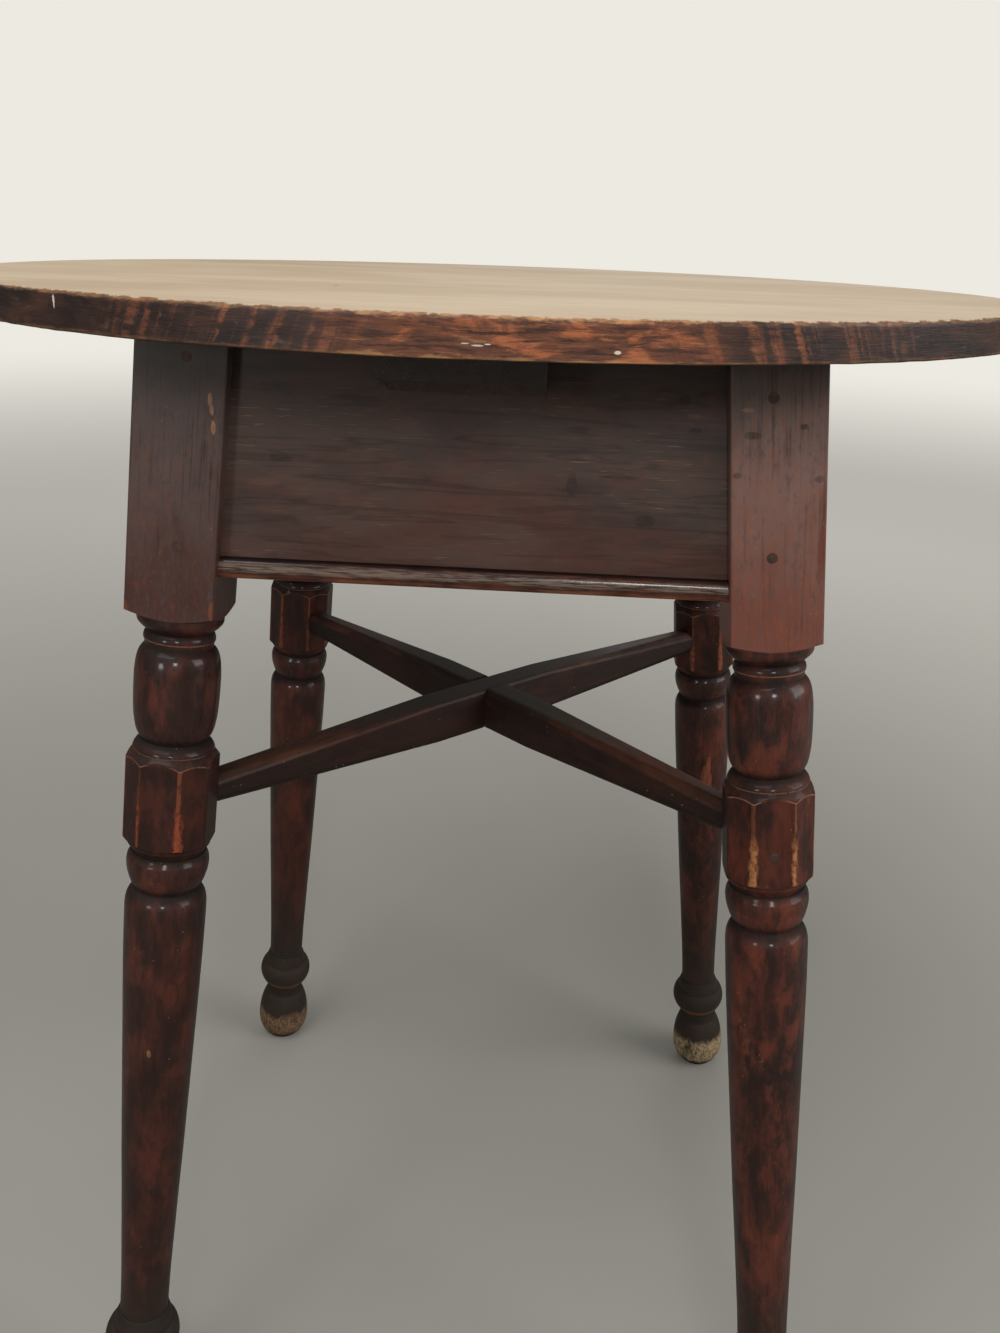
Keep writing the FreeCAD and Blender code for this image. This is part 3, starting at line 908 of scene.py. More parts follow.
@dataclass(frozen=True)
class TurnedFinish(StainedWood):
    """A leg's finish: glossy turnings, a duller block, grime in the grooves, worn arrises and foot.

    Each groove, ridge and thin worn line with a painted highlight is a height along the leg, a half width
    and a strength.
    """

    grooves: tuple[Band, ...] = (
        (1.5, 2.0, 0.7),
        (56.0, 7.0, 1.0),
        (95.0, 5.0, 1.0),
        (390.5, 6.0, 1.0),
        (413.0, 4.0, 1.0),
        (472.0, 1.8, 0.9),
        (478.4, 4.0, 1.0),
        (531.6, 1.9, 0.9),
        (538.2, 3.0, 1.0),
    )
    # Worn ridges; the thin ones at 466.9 and 534.0 also stand for painted highlights on those arrises.
    ridges: tuple[Band, ...] = (
        (376.0, 9.0, 0.35),
        (400.0, 5.0, 0.7),
        (466.9, 0.9, 0.75),
        (474.4, 1.4, 0.5),
        (534.0, 1.0, 0.85),
        (544.4, 1.4, 0.6),
    )
    # Thin lines of wear that also stand for painted highlights on arrises.
    worn_highlight_lines: tuple[Band, ...] = ((472.5, 0.6, 0.7), (533.7, 0.6, 0.9))
    ankle: tuple[Band, ...] = ((66.0, 8.0, 1.0),)
    # Their colour: worn wood and painted highlight.
    wear_and_highlight: Colour = paint(176, 122, 92)
    striped: float = 0.28
    block_starts: tuple[float, float] = (546.8, 548.2)
    octagon: tuple[float, float] = (419.4, 468.6)
    octagon_reach: float = 25.2
    shoulder_drop: float = 1.4
    shoulder_slope: float = 1.1
    dust_ends: float = 60.0

    ragged = Pattern((130, 270, 270), 5.0, 0.68, 0.0, 23)
    patch = Pattern((26, 50, 50), 4.0, 0.6, 0.3, 29)
    fleck = Pattern((170, 300, 300), shift=31)
    uneven = Pattern((9, 26, 26), 2.0, 0.5, 0.0, 37)
    pits = Pattern((330, 460, 460), 5.0, 0.74, 0.0, 43)
    streak = Pattern((14, 560, 560), 5.0, 0.68, 0.0, 47)
    ripple = Pattern((120, 170, 170), 3.0, 0.6, 0.0, 53)
    blot = Pattern((34, 62, 62), 4.0, 0.62, 0.25, 59)

    def material(
        self, name: str, foot: Place, turn: Place, look: LegLook, seed: float
    ) -> bpy.types.Material:
        """Make one leg's material.

        Args:
            name: The material's name.
            foot: Where the leg's axis meets the floor, in millimetres.
            turn: The turn that lays X along the leg.
            look: What sets this leg apart.
            seed: A shift that gives another pattern.

        Returns:
            The material.
        """
        leg = Skin(name, self.dark, seed, foot, turn)
        fibres = self.ground(leg, look.warmth, self.striped)
        leg.lay(look.shade, self.dark)
        at = self._survey(leg, look)
        self._turnings(leg, at)
        self._block(leg, at)
        belt, on_octagon, arris = self._octagon(leg, at)
        wear = self._ridges(leg, at)
        groove = self._grooves(leg, at, on_octagon)
        self._arris_lines(leg, at, belt)
        dusty = self._foot(leg, at)
        flecks = leg.shader.cells(leg.grain, self.fleck, seed)
        chips = flecks.rise(0.1, 0.05) * at.patch.rise(0.55, 0.62)
        leg.lay(chips * 0.45, self.pale)
        leg.mark(at.ragged, look.marks)

        (ripple,) = leg.noise(self.ripple)
        level = at.upward.rise(0.15, 0.7) * at.turning
        rough = 0.36 + at.patch * 0.16 + at.block * 0.12 + wear * 0.2 + groove * 0.2 + dusty * 0.15
        rough = rough + level * 0.2
        relief = fibres * 0.6 + at.patch * 0.8 + ripple * 0.9 - wear * 0.2 - arris * 0.3 - chips * 0.4
        varnish = 0.62 - at.block * 0.44 - dusty * 0.35 - groove * 0.3 - arris * 0.3 - level * 0.42
        coat = ((varnish - belt * 0.4) * (0.5 + ripple)).most(0.0)
        return leg.shader.finish(leg.colour, rough, relief, 0.3, coat, 0.14)

    def _survey(self, leg: Skin, look: LegLook) -> LegSurvey:
        """Work out where a leg's points lie and what its layers share.

        Args:
            leg: The leg's surface.
            look: What sets this leg apart.

        Returns:
            The survey.
        """
        height, east, north = leg.shader.split(leg.grain)
        radius = (east * east + north * north) ** 0.5
        side = (east * look.worn_side[0] + north * look.worn_side[1]) / radius
        ragged, patch, pits = leg.noise(self.ragged, self.patch, self.pits)
        block = height.rise(*self.block_starts)
        upward = leg.shader.facing_up()
        pits = pits.rise(0.42, 0.54)
        return LegSurvey(
            look, height, east, north, radius, side, upward, ragged, patch, pits, block, 1.0 - block
        )

    def _turnings(self, leg: Skin, at: LegSurvey) -> None:
        """Blot what is turned, and darken the side that faces away from its worn side and the lower part
        of its column.

        Args:
            leg: The leg's surface.
            at: Where its points lie, and what its layers share.
        """
        warmth = at.look.warmth
        (blot,) = leg.noise(self.blot)
        leg.lay(at.turning * blot.rise(0.5, 0.34) * (0.25 + 0.4 * warmth), self.flame)
        leg.lay(at.turning * blot.rise(0.5, 0.66) * 0.66, self.dark)
        away = at.side.rise(0.35, -0.45) * at.turning
        leg.lay(away * (0.35 + at.patch * 0.5), self.dark)
        leg.lay(at.turning * at.height.rise(410.0, 300.0) * (0.3 - 0.2 * warmth), self.dark)

    def _block(self, leg: Skin, at: LegSurvey) -> None:
        """Bloom and streak the square block, redden it below, and grey and darken it under the top as
        painted shade.

        Args:
            leg: The leg's surface.
            at: Where its points lie, and what its layers share.
        """
        ragged, warmth = at.ragged, at.look.warmth
        (streak,) = leg.noise(self.streak)
        bloom = at.block * (at.patch * 0.7 + streak * 0.3).rise(0.26, 0.5)
        leg.lay(bloom * (0.62 + 0.2 * warmth), at.look.block)
        lower = at.block * (at.height + at.patch * 70.0).rise(690.0, 590.0)
        mingled = (streak * 0.4 + ragged * 0.6).rise(0.28, 0.52)
        leg.lay(lower * mingled * 0.9, at.look.low_block)
        leg.lay(at.block * streak.rise(0.48, 0.34) * 0.34, self.dark)
        leg.lay(at.block * ragged.rise(0.51, 0.66) * (0.04 + 0.5 * warmth), self.worn)
        leg.lay(at.block * ragged.rise(0.47, 0.34) * 0.28, self.dark)
        # Painted shade: the block greyed and darkened towards the table top, where the top's shadow
        # falls.
        leg.lay(at.block * (at.height + at.patch * 40.0).rise(646.0, 706.0) * 0.82, self.block_top_shade)
        # Painted shade: the block darkened just under the table top.
        leg.lay(at.block * at.height.rise(676.0, 694.0) * 0.6, self.grime)

    def _octagon(self, leg: Skin, at: LegSurvey) -> tuple[Wire, Wire, Wire]:
        """Darken the octagon, and wear its arrises and the block's.

        Args:
            leg: The leg's surface.
            at: Where its points lie.

        Returns:
            The octagon's belt, its worn sides, and its worn arrises.
        """
        low, high = self.octagon
        middle = (low + high) / 2
        belt = at.height.rise(low - 3.0, low) * at.height.rise(high + 1.0, high - 1.0)
        leg.lay(belt * (0.45 - 0.2 * at.look.warmth), self.dark)
        (uneven,) = leg.noise(self.uneven)
        uneven = uneven.rise(0.38, 0.6)
        on_octagon = belt * at.side.rise(0.25, 0.6)
        knocks = at.ragged - 0.5
        thin = on_octagon * (at.radius + knocks * 0.3).rise(24.8, 24.95) * at.ragged.rise(0.34, 0.5)
        leg.lay(thin * (0.25 + uneven * 0.3), self.worn)
        lower_half = at.height.rise(middle + 8.0, middle - 6.0)
        broad = (at.radius + uneven * 0.4 + knocks * 1.6).rise(24.6, self.octagon_reach)
        strip = on_octagon * lower_half * broad
        leg.lay(strip * (0.15 + at.pits * 0.8), at.look.arris)
        block_arris = at.block * abs(at.east).least(abs(at.north)).rise(20.6, HALF_STOCK)
        leg.lay(block_arris * at.ragged.rise(0.4, 0.7) * 0.45, at.look.low_block)
        return belt, on_octagon, thin.most(strip)

    def _ridges(self, leg: Skin, at: LegSurvey) -> Wire:
        """Wear the ridges and rub some patches.

        Args:
            leg: The leg's surface.
            at: Where its points lie, and what its layers share.

        Returns:
            The wear on the ridges.
        """
        warmth = at.look.warmth
        ridge = leg.shader.bands(at.height, self.ridges) * at.turning
        worn = (ridge * (0.45 + at.ragged) + at.patch * 0.25).rise(0.62, 0.92)
        wear = worn * (0.55 + 0.3 * warmth)
        rubbed = at.patch.rise(0.62, 0.78) * at.ragged.rise(0.42, 0.62) * (0.15 + 0.35 * warmth)
        # Wear, with painted highlight on the thin ridges at the octagon's top edge and the bead ring's
        # lower arris.
        leg.lay(wear.most(rubbed), self.worn)
        return wear

    def _grooves(self, leg: Skin, at: LegSurvey, on_octagon: Wire) -> Wire:
        """Fill the grooves with grime and lay a film on what faces up.

        Args:
            leg: The leg's surface.
            at: Where its points lie.
            on_octagon: The octagon's worn sides, which stay clean.

        Returns:
            The grooves.
        """
        groove = leg.shader.bands(at.height, self.grooves) * (1.0 - on_octagon)
        leg.lay(groove * (0.55 + at.ragged * 0.8), self.grime)
        film = at.upward.rise(0.3, 0.85) * at.turning * (0.5 + at.patch * 0.6)
        leg.lay(film * 0.6, self.film)
        return groove

    def _arris_lines(self, leg: Skin, at: LegSurvey, belt: Wire) -> None:
        """Draw thin worn lines, also painted highlights, on two rings and where the octagon's flats meet
        its upper shoulder.

        Args:
            leg: The leg's surface.
            at: Where its points lie.
            belt: The octagon's belt.
        """
        inside = self.octagon_reach - at.radius
        shoulder = self.octagon[1] - self.shoulder_drop + inside * self.shoulder_slope
        worn_highlight_lines = (shoulder - at.height).rise(0.75, 0.25) * at.upward.rise(0.5, 0.2) * belt
        for middle, half, value in self.worn_highlight_lines:
            worn_highlight_lines = worn_highlight_lines.most(abs(at.height - middle).rise(half, half / 3.0) * value)
        worn_highlight_lines = worn_highlight_lines * at.ragged.rise(0.3, 0.5) * at.side.rise(-0.2, 0.3)
        # Worn wood and painted highlight: light lines along the arrises.
        leg.lay(worn_highlight_lines * (0.35 + 0.35 * at.look.warmth), self.wear_and_highlight)

    def _foot(self, leg: Skin, at: LegSurvey) -> Wire:
        """Dust the leg's lower end, knock its ankle and scuff its foot.

        Args:
            leg: The leg's surface.
            at: Where its points lie, and what its layers share.

        Returns:
            The dust.
        """
        ragged, patch = at.ragged, at.patch
        dusty = at.height.rise(at.look.dusty, self.dust_ends)
        leg.lay(dusty * (0.55 + patch * 0.5), self.soot)
        under = leg.shader.bands(at.height, self.ankle)
        leg.lay((under + ragged * 0.6 + patch * 0.5).rise(0.95, 1.3) * 0.85, self.knocked)
        level = at.height + (patch - 0.5) * 20.0 + (ragged - 0.5) * 16.0
        sole = (at.height + (ragged - 0.5) * 8.0).rise(6.0, 11.0)
        scuffed = level.rise(36.0, 28.0) * sole * (ragged * 0.6 + patch * 0.5).rise(0.36, 0.54)
        leg.lay(scuffed * (0.3 + at.pits * 0.6), at.look.foot)
        return dusty


@dataclass(frozen=True)
class BoardFinish(StainedWood):
    """The finish of a flat board under the top: a grey upper part darkened with painted shade from the
    top, and a redder lower one.
    """

    ragged = Pattern((80, 240, 240), 5.0, 0.65, 0.0, 23)
    patch = Pattern((13, 34, 34), 4.0, 0.6, 0.3, 29)
    figure = Pattern((7, 105, 105), 2.0, 0.4, 2.2, 37)
    scratch = Pattern((70, 1500, 1500), 1.0, 0.5, 0.0, 41)

    def material(
        self,
        name: str,
        turn: float,
        heights: tuple[float, float],
        warmth: float,
        seed: float,
        marks: Sequence[Mark] = (),
    ) -> bpy.types.Material:
        """Make a board's material.

        Args:
            name: The material's name.
            turn: The turn about Z that lays X along the grain, in radians.
            heights: Where the painted shade on the upper part starts and where it is full, in
                millimetres.
            warmth: 0 for the darkest boards, 1 for the most orange.
            seed: A shift that gives another pattern.
            marks: This board's own marks.

        Returns:
            The material.
        """
        skin = Skin(name, self.dark, seed, (0.0, 0.0, 0.0), (0.0, 0.0, turn))
        height = skin.shader.split(skin.place)[2]
        fibres = self.ground(skin, warmth, 0.45)
        ragged, patch, figure, scratch = skin.noise(self.ragged, self.patch, self.figure, self.scratch)
        skin.lay(0.34 + patch.rise(0.35, 0.65) * 0.3, self.bloom)
        skin.lay(figure.rise(0.53, 0.6) * figure.rise(0.68, 0.6) * 0.35, self.dark)
        low = (height + patch * 60.0).rise(650.0, 590.0)
        skin.lay(low * (0.2 + ragged * 0.4), self.red)
        # Painted shade: the upper part, under the top, darkened with the grime colour.
        board_top_shade = (height + patch * 40.0).rise(*heights)
        skin.lay(board_top_shade * 0.75, self.grime)
        scratches = scratch.rise(0.66, 0.74) * patch.rise(0.42, 0.6)
        skin.lay(scratches * 0.32, self.pale)
        skin.mark(ragged, marks)
        rough = 0.42 + patch * 0.22 + scratches * 0.2
        relief = fibres * 0.6 + patch * 0.5 - scratches * 0.4 + figure * 0.2
        return skin.shader.finish(skin.colour, rough, relief, 0.25, 0.2 + patch * 0.1, 0.3)

    def front_marks(self) -> list[Mark]:
        """The dents, burns and rubbed patches of the front apron.

        Returns:
            The marks, the light ones first.
        """
        rubbed = paint(130, 88, 68)
        dark = (
            ((47.5, -160.4, 621.0), (2.6, 9.0, 5.4)),
            ((98.8, -156.6, 663.4), (2.6, 9.0, 3.0)),
            ((105.0, -158.0, 649.5), (3.6, 9.0, 1.6)),
            ((70.0, -160.0, 625.7), (10.0, 9.0, 0.9)),
            ((84.0, -162.0, 605.0), (5.0, 9.0, 3.4)),
            ((-96.0, -160.0, 628.0), (6.0, 9.0, 2.0)),
        )
        light = (
            ((79.7, -159.4, 632.5), (4.6, 9.0, 1.8)),
            ((96.0, -159.4, 632.6), (9.5, 9.0, 2.0)),
            ((58.0, -159.1, 635.0), (7.5, 9.0, 1.2)),
            ((104.4, -157.5, 656.0), (4.0, 9.0, 1.4)),
            ((-104.0, -161.0, 616.0), (9.0, 9.0, 2.4)),
        )
        marks = [Mark(centre, reach, rubbed, 0.32) for centre, reach in light]
        return marks + [Mark(centre, reach, self.grime, 0.6) for centre, reach in dark]


@dataclass(frozen=True)
class StretcherFinish(StainedWood):
    """Dark stain with dust on what faces up, rubbed, lighter arrises, and painted shade on what faces
    down.
    """

    brown: Colour = paint(38, 25, 20)
    ragged = Pattern((60, 210, 210), 5.0, 0.65, 0.0, 23)
    patch = Pattern((20, 40, 40), 4.0, 0.6, 0.3, 29)
    fleck = Pattern((120, 200, 200), shift=31)

    def material(self, name: str, turn: float, seed: float) -> bpy.types.Material:
        """Make one stretcher's material.

        Args:
            name: The material's name.
            turn: The turn about Z that lays X along the bar, in radians.
            seed: A shift that gives another pattern.

        Returns:
            The material.
        """
        skin = Skin(name, self.dark, seed, (0.0, 0.0, STRETCHER_HEIGHT), (0.0, 0.0, turn))
        shader = skin.shader
        along = abs(shader.split(skin.grain)[0])
        fibres = self.ground(skin, 0.3, 0.4)
        ragged, patch = skin.noise(self.ragged, self.patch)
        upward = shader.facing_up()
        skin.lay(0.72, self.brown)
        # Painted shade: what faces down darkened.
        skin.lay(upward.rise(0.2, -0.2) * 0.3, self.grime)
        rubbed = upward.rise(0.15, 0.5) * along.rise(30.0, 90.0)
        skin.lay(rubbed * (ragged * 0.6 + patch * 0.6).rise(0.4, 0.75) * 0.36, self.knocked)
        dusty = upward.rise(0.7, 0.95) * (along + patch * 30.0).rise(150.0, 90.0)
        skin.lay(dusty * (0.5 + patch * 0.5), self.dust)
        skin.lay(along.rise(150.0, 244.0) * 0.6, self.grime)
        flecks = shader.cells(skin.grain, self.fleck, seed)
        skin.lay(flecks.rise(0.08, 0.045) * patch.rise(0.5, 0.6) * 0.6, self.pale)
        rough = 0.5 + patch * 0.2 + dusty * 0.2
        relief = fibres * 0.6 + patch * 0.7 + ragged * 0.3
        return shader.finish(skin.colour, rough, relief, 0.3, 0.1 - dusty * 0.09, 0.26)


@dataclass(frozen=True)
class BeadFinish(StainedWood):
    """Glossy stain on the beads: a rubbed nose that also holds a painted highlight, and grime and painted
    shade at the apron.
    """

    # Worn, dusty colour of the nose, which also stands for a painted highlight.
    nose_wear_and_highlight: Colour = paint(146, 126, 110)
    ragged = Pattern((45, 330, 330), 5.0, 0.65, 0.0, 23)
    patch = Pattern((22, 90, 90), 4.0, 0.6, 0.3, 29)
    scratch = Pattern((70, 1400, 1400), 4.0, 0.7, 0.0, 41)

    def material(self, name: str, turn: float, seed: float) -> bpy.types.Material:
        """Make one bead's material.

        Args:
            name: The material's name.
            turn: The turn about Z that lays X along the bead, in radians.
            seed: A shift that gives another pattern.

        Returns:
            The material.
        """
        skin = Skin(name, self.dark, seed, (0.0, 0.0, 0.0), (0.0, 0.0, turn))
        height = skin.shader.split(skin.place)[2] - APRON_BOTTOM
        fibres = self.ground(skin, 0.45, 0.5)
        ragged, patch, scratch = skin.noise(self.ragged, self.patch, self.scratch)
        level = height + (ragged - 0.5) * 4.0
        nose = level.rise(3.4, 5.6) * level.rise(10.0, 7.6)
        # Rubbed nose: wear, and a painted highlight along it.
        rubbed = nose * (patch * 0.3 + scratch * 0.7).rise(0.42, 0.56)
        skin.lay(rubbed * 0.8, self.nose_wear_and_highlight)
        low = level.rise(3.8, 1.8) * (ragged * 0.5 + patch * 0.5).rise(0.44, 0.58)
        skin.lay(low * 0.7, self.worn)
        # Grime and painted shade in the crease where the bead meets the apron.
        crease_grime_and_shade = height.rise(9.6, 10.6)
        skin.lay(crease_grime_and_shade * 0.9, self.grime)
        rough = 0.34 + patch * 0.25 + crease_grime_and_shade * 0.2
        relief = fibres * 0.5 + ragged * 0.7 + scratch * 0.25
        coat = 0.7 * (0.4 + ragged) - crease_grime_and_shade * 0.6
        return skin.shader.finish(skin.colour, rough, relief, 0.3, coat, 0.16)


@dataclass(frozen=True)
class ScrubbedTop:
    """Boards scrubbed pale on top, stained and knocked about round the rim, dusty brown below."""

    pale: Colour = paint(191, 169, 141)
    light: Colour = paint(202, 183, 156)
    shade: Colour = paint(164, 142, 114)
    ochre: Colour = paint(192, 142, 94)
    orange: Colour = paint(176, 102, 64)
    stain: Colour = paint(49, 36, 32)
    rust: Colour = paint(116, 70, 50)
    # Grey scuffs on the rim, which also stand for painted highlights there.
    grey: Colour = paint(112, 102, 98)
    below: Colour = paint(70, 50, 38)
    dark: Colour = paint(30, 24, 22)
    chip: Colour = paint(222, 212, 198)

    fibre = Pattern((9, 210, 210), 7.0, 0.62, 0.2)
    streak = Pattern((2.6, 60, 60), 4.0, 0.6, 0.5, 3)
    patch = Pattern((5, 11, 11), 4.0, 0.6, 0.4, 7)
    pores = Pattern((60, 800, 800), 2.0, 0.6, 0.0, 9)
    dash = Pattern((26, 420, 420), 2.0, 0.5, 0.0, 13)
    worm = Pattern((7, 260, 260), 4.0, 0.65, 0.1, 15)

    knock = Pattern((75, 75, 75), 5.0, 0.7)
    fine = Pattern((220, 220, 220), 4.0, 0.7, 0.0, 3.0)
    tear = Pattern((44, 60, 460), 7.0, 0.76, 0.3, 41.0)
    coarse = Pattern((30, 30, 95), 5.0, 0.66, 0.6, 43.0)
    blotch = Pattern((48, 48, 110), 5.0, 0.7, 0.5, 45.0)
    scuff = Pattern((90, 90, 320), 5.0, 0.74, 0.0, 47.0)
    torn = Pattern((60, 60, 700), 5.0, 0.7, 0.2, 53.0)

    end_grain_middle: float = 5.0
    # Pale chips on the rim; the three dashes at the front, near x 6 to 13, are scratches that also stand
    # for painted glints.
    rim_chips_and_glints: tuple[tuple[Place, Place], ...] = (
        ((-163.9, -247.7, 703.4), (0.55, 3.0, 3.0)),
        ((9.8, -296.9, 697.5), (2.6, 3.0, 0.34)),
        ((13.4, -296.7, 698.0), (1.4, 3.0, 0.3)),
        ((5.6, -297.0, 698.1), (1.6, 3.0, 0.24)),
        ((59.9, -290.9, 696.3), (1.3, 3.0, 0.7)),
    )

    def material(self, name: str, seed: float) -> bpy.types.Material:
        """Make one board's material.

        Args:
            name: The material's name.
            seed: A shift that gives another pattern.

        Returns:
            The material.
        """
        skin = Skin(name, self.pale, seed)
        shader = skin.shader
        east, north, height = shader.split(skin.place)
        fibre, streak, patch, pores, dash, worm = skin.noise(
            self.fibre, self.streak, self.patch, self.pores, self.dash, self.worm
        )
        skin.lay(patch.rise(0.35, 0.65), self.light)
        skin.lay(streak.rise(0.5, 0.78) * 0.35, self.shade)
        skin.lay(fibre.rise(0.52, 0.8) * 0.35, self.shade)
        skin.lay(dash.rise(0.62, 0.72) * 0.4, self.shade)
        skin.lay(worm.rise(0.6, 0.7) * streak.rise(0.4, 0.6) * 0.4, self.shade)
        skin.lay(pores.rise(0.62, 0.74) * 0.3, self.shade)
        nick = shader.spot(skin.place, (-73.0, -128.0, TABLE_HEIGHT), (1.6, 1.6, 3.0))
        skin.lay(nick * 0.9, self.dark)

        radius = (east * east + north * north) ** 0.5
        knock, fine, torn = skin.shared_noise(self.knock, self.fine, self.torn)
        out = radius + (knock - 0.5) * 9.0 + (fine - 0.5) * 9.0
        skin.lay(out.rise(294.4, 296.4) * 0.8, self.ochre)
        rim, rim_rough = self._rim(skin.again(self.stain), east, north, height)
        edge = (radius + (knock - 0.5) * 3.5 + (fine - 0.5) * 5.0).rise(294.7, 295.7)
        edge = edge.most(height.rise(707.6, 707.2) * radius.rise(290.0, 291.0))
        skin.lay(edge, rim)
        below = shader.mix(fibre.rise(0.35, 0.7) * 0.6 + patch * 0.3, self.below, self.dark)
        skin.lay(height.rise(692.9, 692.3), below)
        top_rough = 0.55 + patch * 0.15 + pores * 0.1
        rough = edge * rim_rough + (1.0 - edge) * top_rough
        wood = fibre * 0.3 + pores * 0.15 + patch * 0.2
        relief = wood + edge * (torn * 1.6 + knock * 0.8) - nick * 0.8
        return shader.finish(skin.colour, rough, relief, 0.3, edge * 0.12, 0.3)

    def _rim(self, skin: Skin, east: Wire, north: Wire, height: Wire) -> tuple[Wire, Wire]:
        """The rim's colour and roughness.

        Args:
            skin: The rim's own layers.
            east: A point's X, in millimetres.
            north: Its Y, in millimetres.
            height: Its height, in millimetres.

        Returns:
            The colour and the roughness.
        """
        tear, coarse, blotch, scuff = skin.shared_noise(self.tear, self.coarse, self.blotch, self.scuff)
        about = abs(east.arctan2(north * -1.0) * (180.0 / math.pi) - self.end_grain_middle)
        folded = about.least(180.0 - about)
        long_grain = (folded + (coarse - 0.5) * 12.0).rise(17.0, 9.0)
        barred = folded.rise(36.0, 24.0) * folded.rise(7.0, 13.0)
        skin.lay(coarse.rise(0.42, 0.66) * 0.28, self.rust)
        skin.lay(coarse.rise(0.48, 0.32) * 0.55, self.dark)
        bars = self._bars(skin.shader, about, east, height, scuff)
        skin.lay(barred * bars.rise(0.46, 0.6) * scuff.rise(0.34, 0.62) * 0.5, self.orange)
        torn = (tear * 0.5 + scuff * 0.5).rise(0.4, 0.56)
        skin.lay(long_grain * (0.5 + torn * 0.4), self.rust)
        skin.lay(long_grain * blotch.rise(0.48, 0.62) * (0.3 + torn * 0.6), self.orange)
        skin.lay(long_grain * tear.rise(0.5, 0.42) * 0.7, self.stain)
        skin.lay(long_grain * tear.rise(0.57, 0.66) * 0.45, self.ochre)
        # Grey scuffs and painted highlights on the rim.
        skin.lay(scuff.rise(0.57, 0.69) * blotch.rise(0.52, 0.42) * 0.3, self.grey)
        upper = (height + scuff * 6.0 + tear * 3.0).rise(710.8, 712.4)
        skin.lay(upper * (0.35 + long_grain * 0.45), self.ochre)
        lower = (height + scuff * 5.0).rise(696.6, 695.2)
        skin.lay(lower * (0.25 + long_grain * 0.5) * tear.rise(0.35, 0.6), self.ochre)
        # Pale chips, and scratches that also stand for painted glints.
        for centre, reach in self.rim_chips_and_glints:
            skin.lay(skin.shader.spot(skin.place, centre, reach, scuff) * 0.9, self.chip)
        return skin.colour, 0.44 + coarse * 0.2 + long_grain * 0.12

    @staticmethod
    def _bars(shader: Shader, about: Wire, east: Wire, height: Wire, scuff: Wire) -> Wire:
        """Noise in slanting bars, which cross the rim where it turns from long grain to end grain.

        Args:
            shader: The material that is built.
            about: The angle round the rim, in degrees.
            east: The X, in millimetres.
            height: The height, in millimetres.
            scuff: Noise that makes the bars uneven.

        Returns:
            The noise.
        """
        along = about * 0.95 + height * 0.085 + scuff * 1.1
        across = height * 0.012 + east.rise(-1.0, 1.0) * 7.0
        slant = shader.node("ShaderNodeCombineXYZ", values={0: along, 1: across})
        return shader.node(
            "ShaderNodeTexNoise",
            values={"Vector": slant, "Scale": 1.0, "Detail": 3.0, "Roughness": 0.6},
        )


@dataclass(frozen=True)
class PegFinish:
    """Dark or pale end grain of a whittled peg."""

    base: Colour
    rings: Colour
    fine = Pattern((700, 700, 700), 4.0, 0.6)
    coarse = Pattern((160, 160, 160), 3.0, 0.5, 0.6)

    def material(self, name: str) -> bpy.types.Material:
        """Make the pegs' material.

        Args:
            name: The material's name.

        Returns:
            The material.
        """
        skin = Skin(name, self.base)
        fine, coarse = skin.noise(self.fine, self.coarse)
        skin.lay(coarse.rise(0.35, 0.65), self.rings)
        skin.lay(fine.rise(0.55, 0.7) * 0.4, self.base)
        return skin.shader.finish(skin.colour, 0.5 + fine * 0.2, fine, 0.15)


@dataclass(frozen=True)
class RustyIron:
    """Old wrought iron under a skin of rust."""

    iron: Colour = paint(58, 54, 52)
    rust: Colour = paint(96, 56, 38)
    coarse = Pattern((260, 260, 260), 4.0, 0.65, 0.5)
    fine = Pattern((1400, 1400, 1400), 3.0, 0.6)

    def material(self, name: str) -> bpy.types.Material:
        """Make the nails' material.

        Args:
            name: The material's name.

        Returns:
            The material.
        """
        skin = Skin(name, self.iron)
        coarse, fine = skin.noise(self.coarse, self.fine)
        rusted = (coarse * 0.7 + fine * 0.3).rise(0.42, 0.58)
        skin.lay(rusted, self.rust)
        rough, metallic = 0.45 + rusted * 0.35, 0.8 - rusted * 0.7
        relief = coarse * 0.6 + fine * 0.4
        return skin.shader.finish(skin.colour, rough, relief, 0.25, metallic=metallic)


# ==== the table's pieces ==========================================================================


@dataclass(frozen=True)
class Member:
    """One length of a turned outline: points of height along the leg and radius, going down."""

    points: tuple[tuple[float, float], ...]
    flowing: bool = True

    def refined(self, pitch: float) -> list[tuple[float, float]]:
        """The points with a smooth curve through them where the member flows.

        Args:
            pitch: The distance between the points, in millimetres.

        Returns:
            The refined points.
        """
        if not self.flowing or len(self.points) < 3:
            return list(self.points)
        known = [Vector(p) for p in self.points]
        known = [known[0] * 2 - known[1], *known, known[-1] * 2 - known[-2]]
        out: list[tuple[float, float]] = []
        for before, start, end, after in zip(known, known[1:], known[2:], known[3:]):
            steps = max(1, round((end - start).length / pitch))
            for step in range(steps):
                t = step / steps
                point = 0.5 * (
                    2 * start
                    + (end - before) * t
                    + (2 * before - 5 * start + 4 * end - after) * t**2
                    + (3 * start - before - 3 * end + after) * t**3
                )
                out.append((point.x, point.y))
        out.append(self.points[-1])
        return out


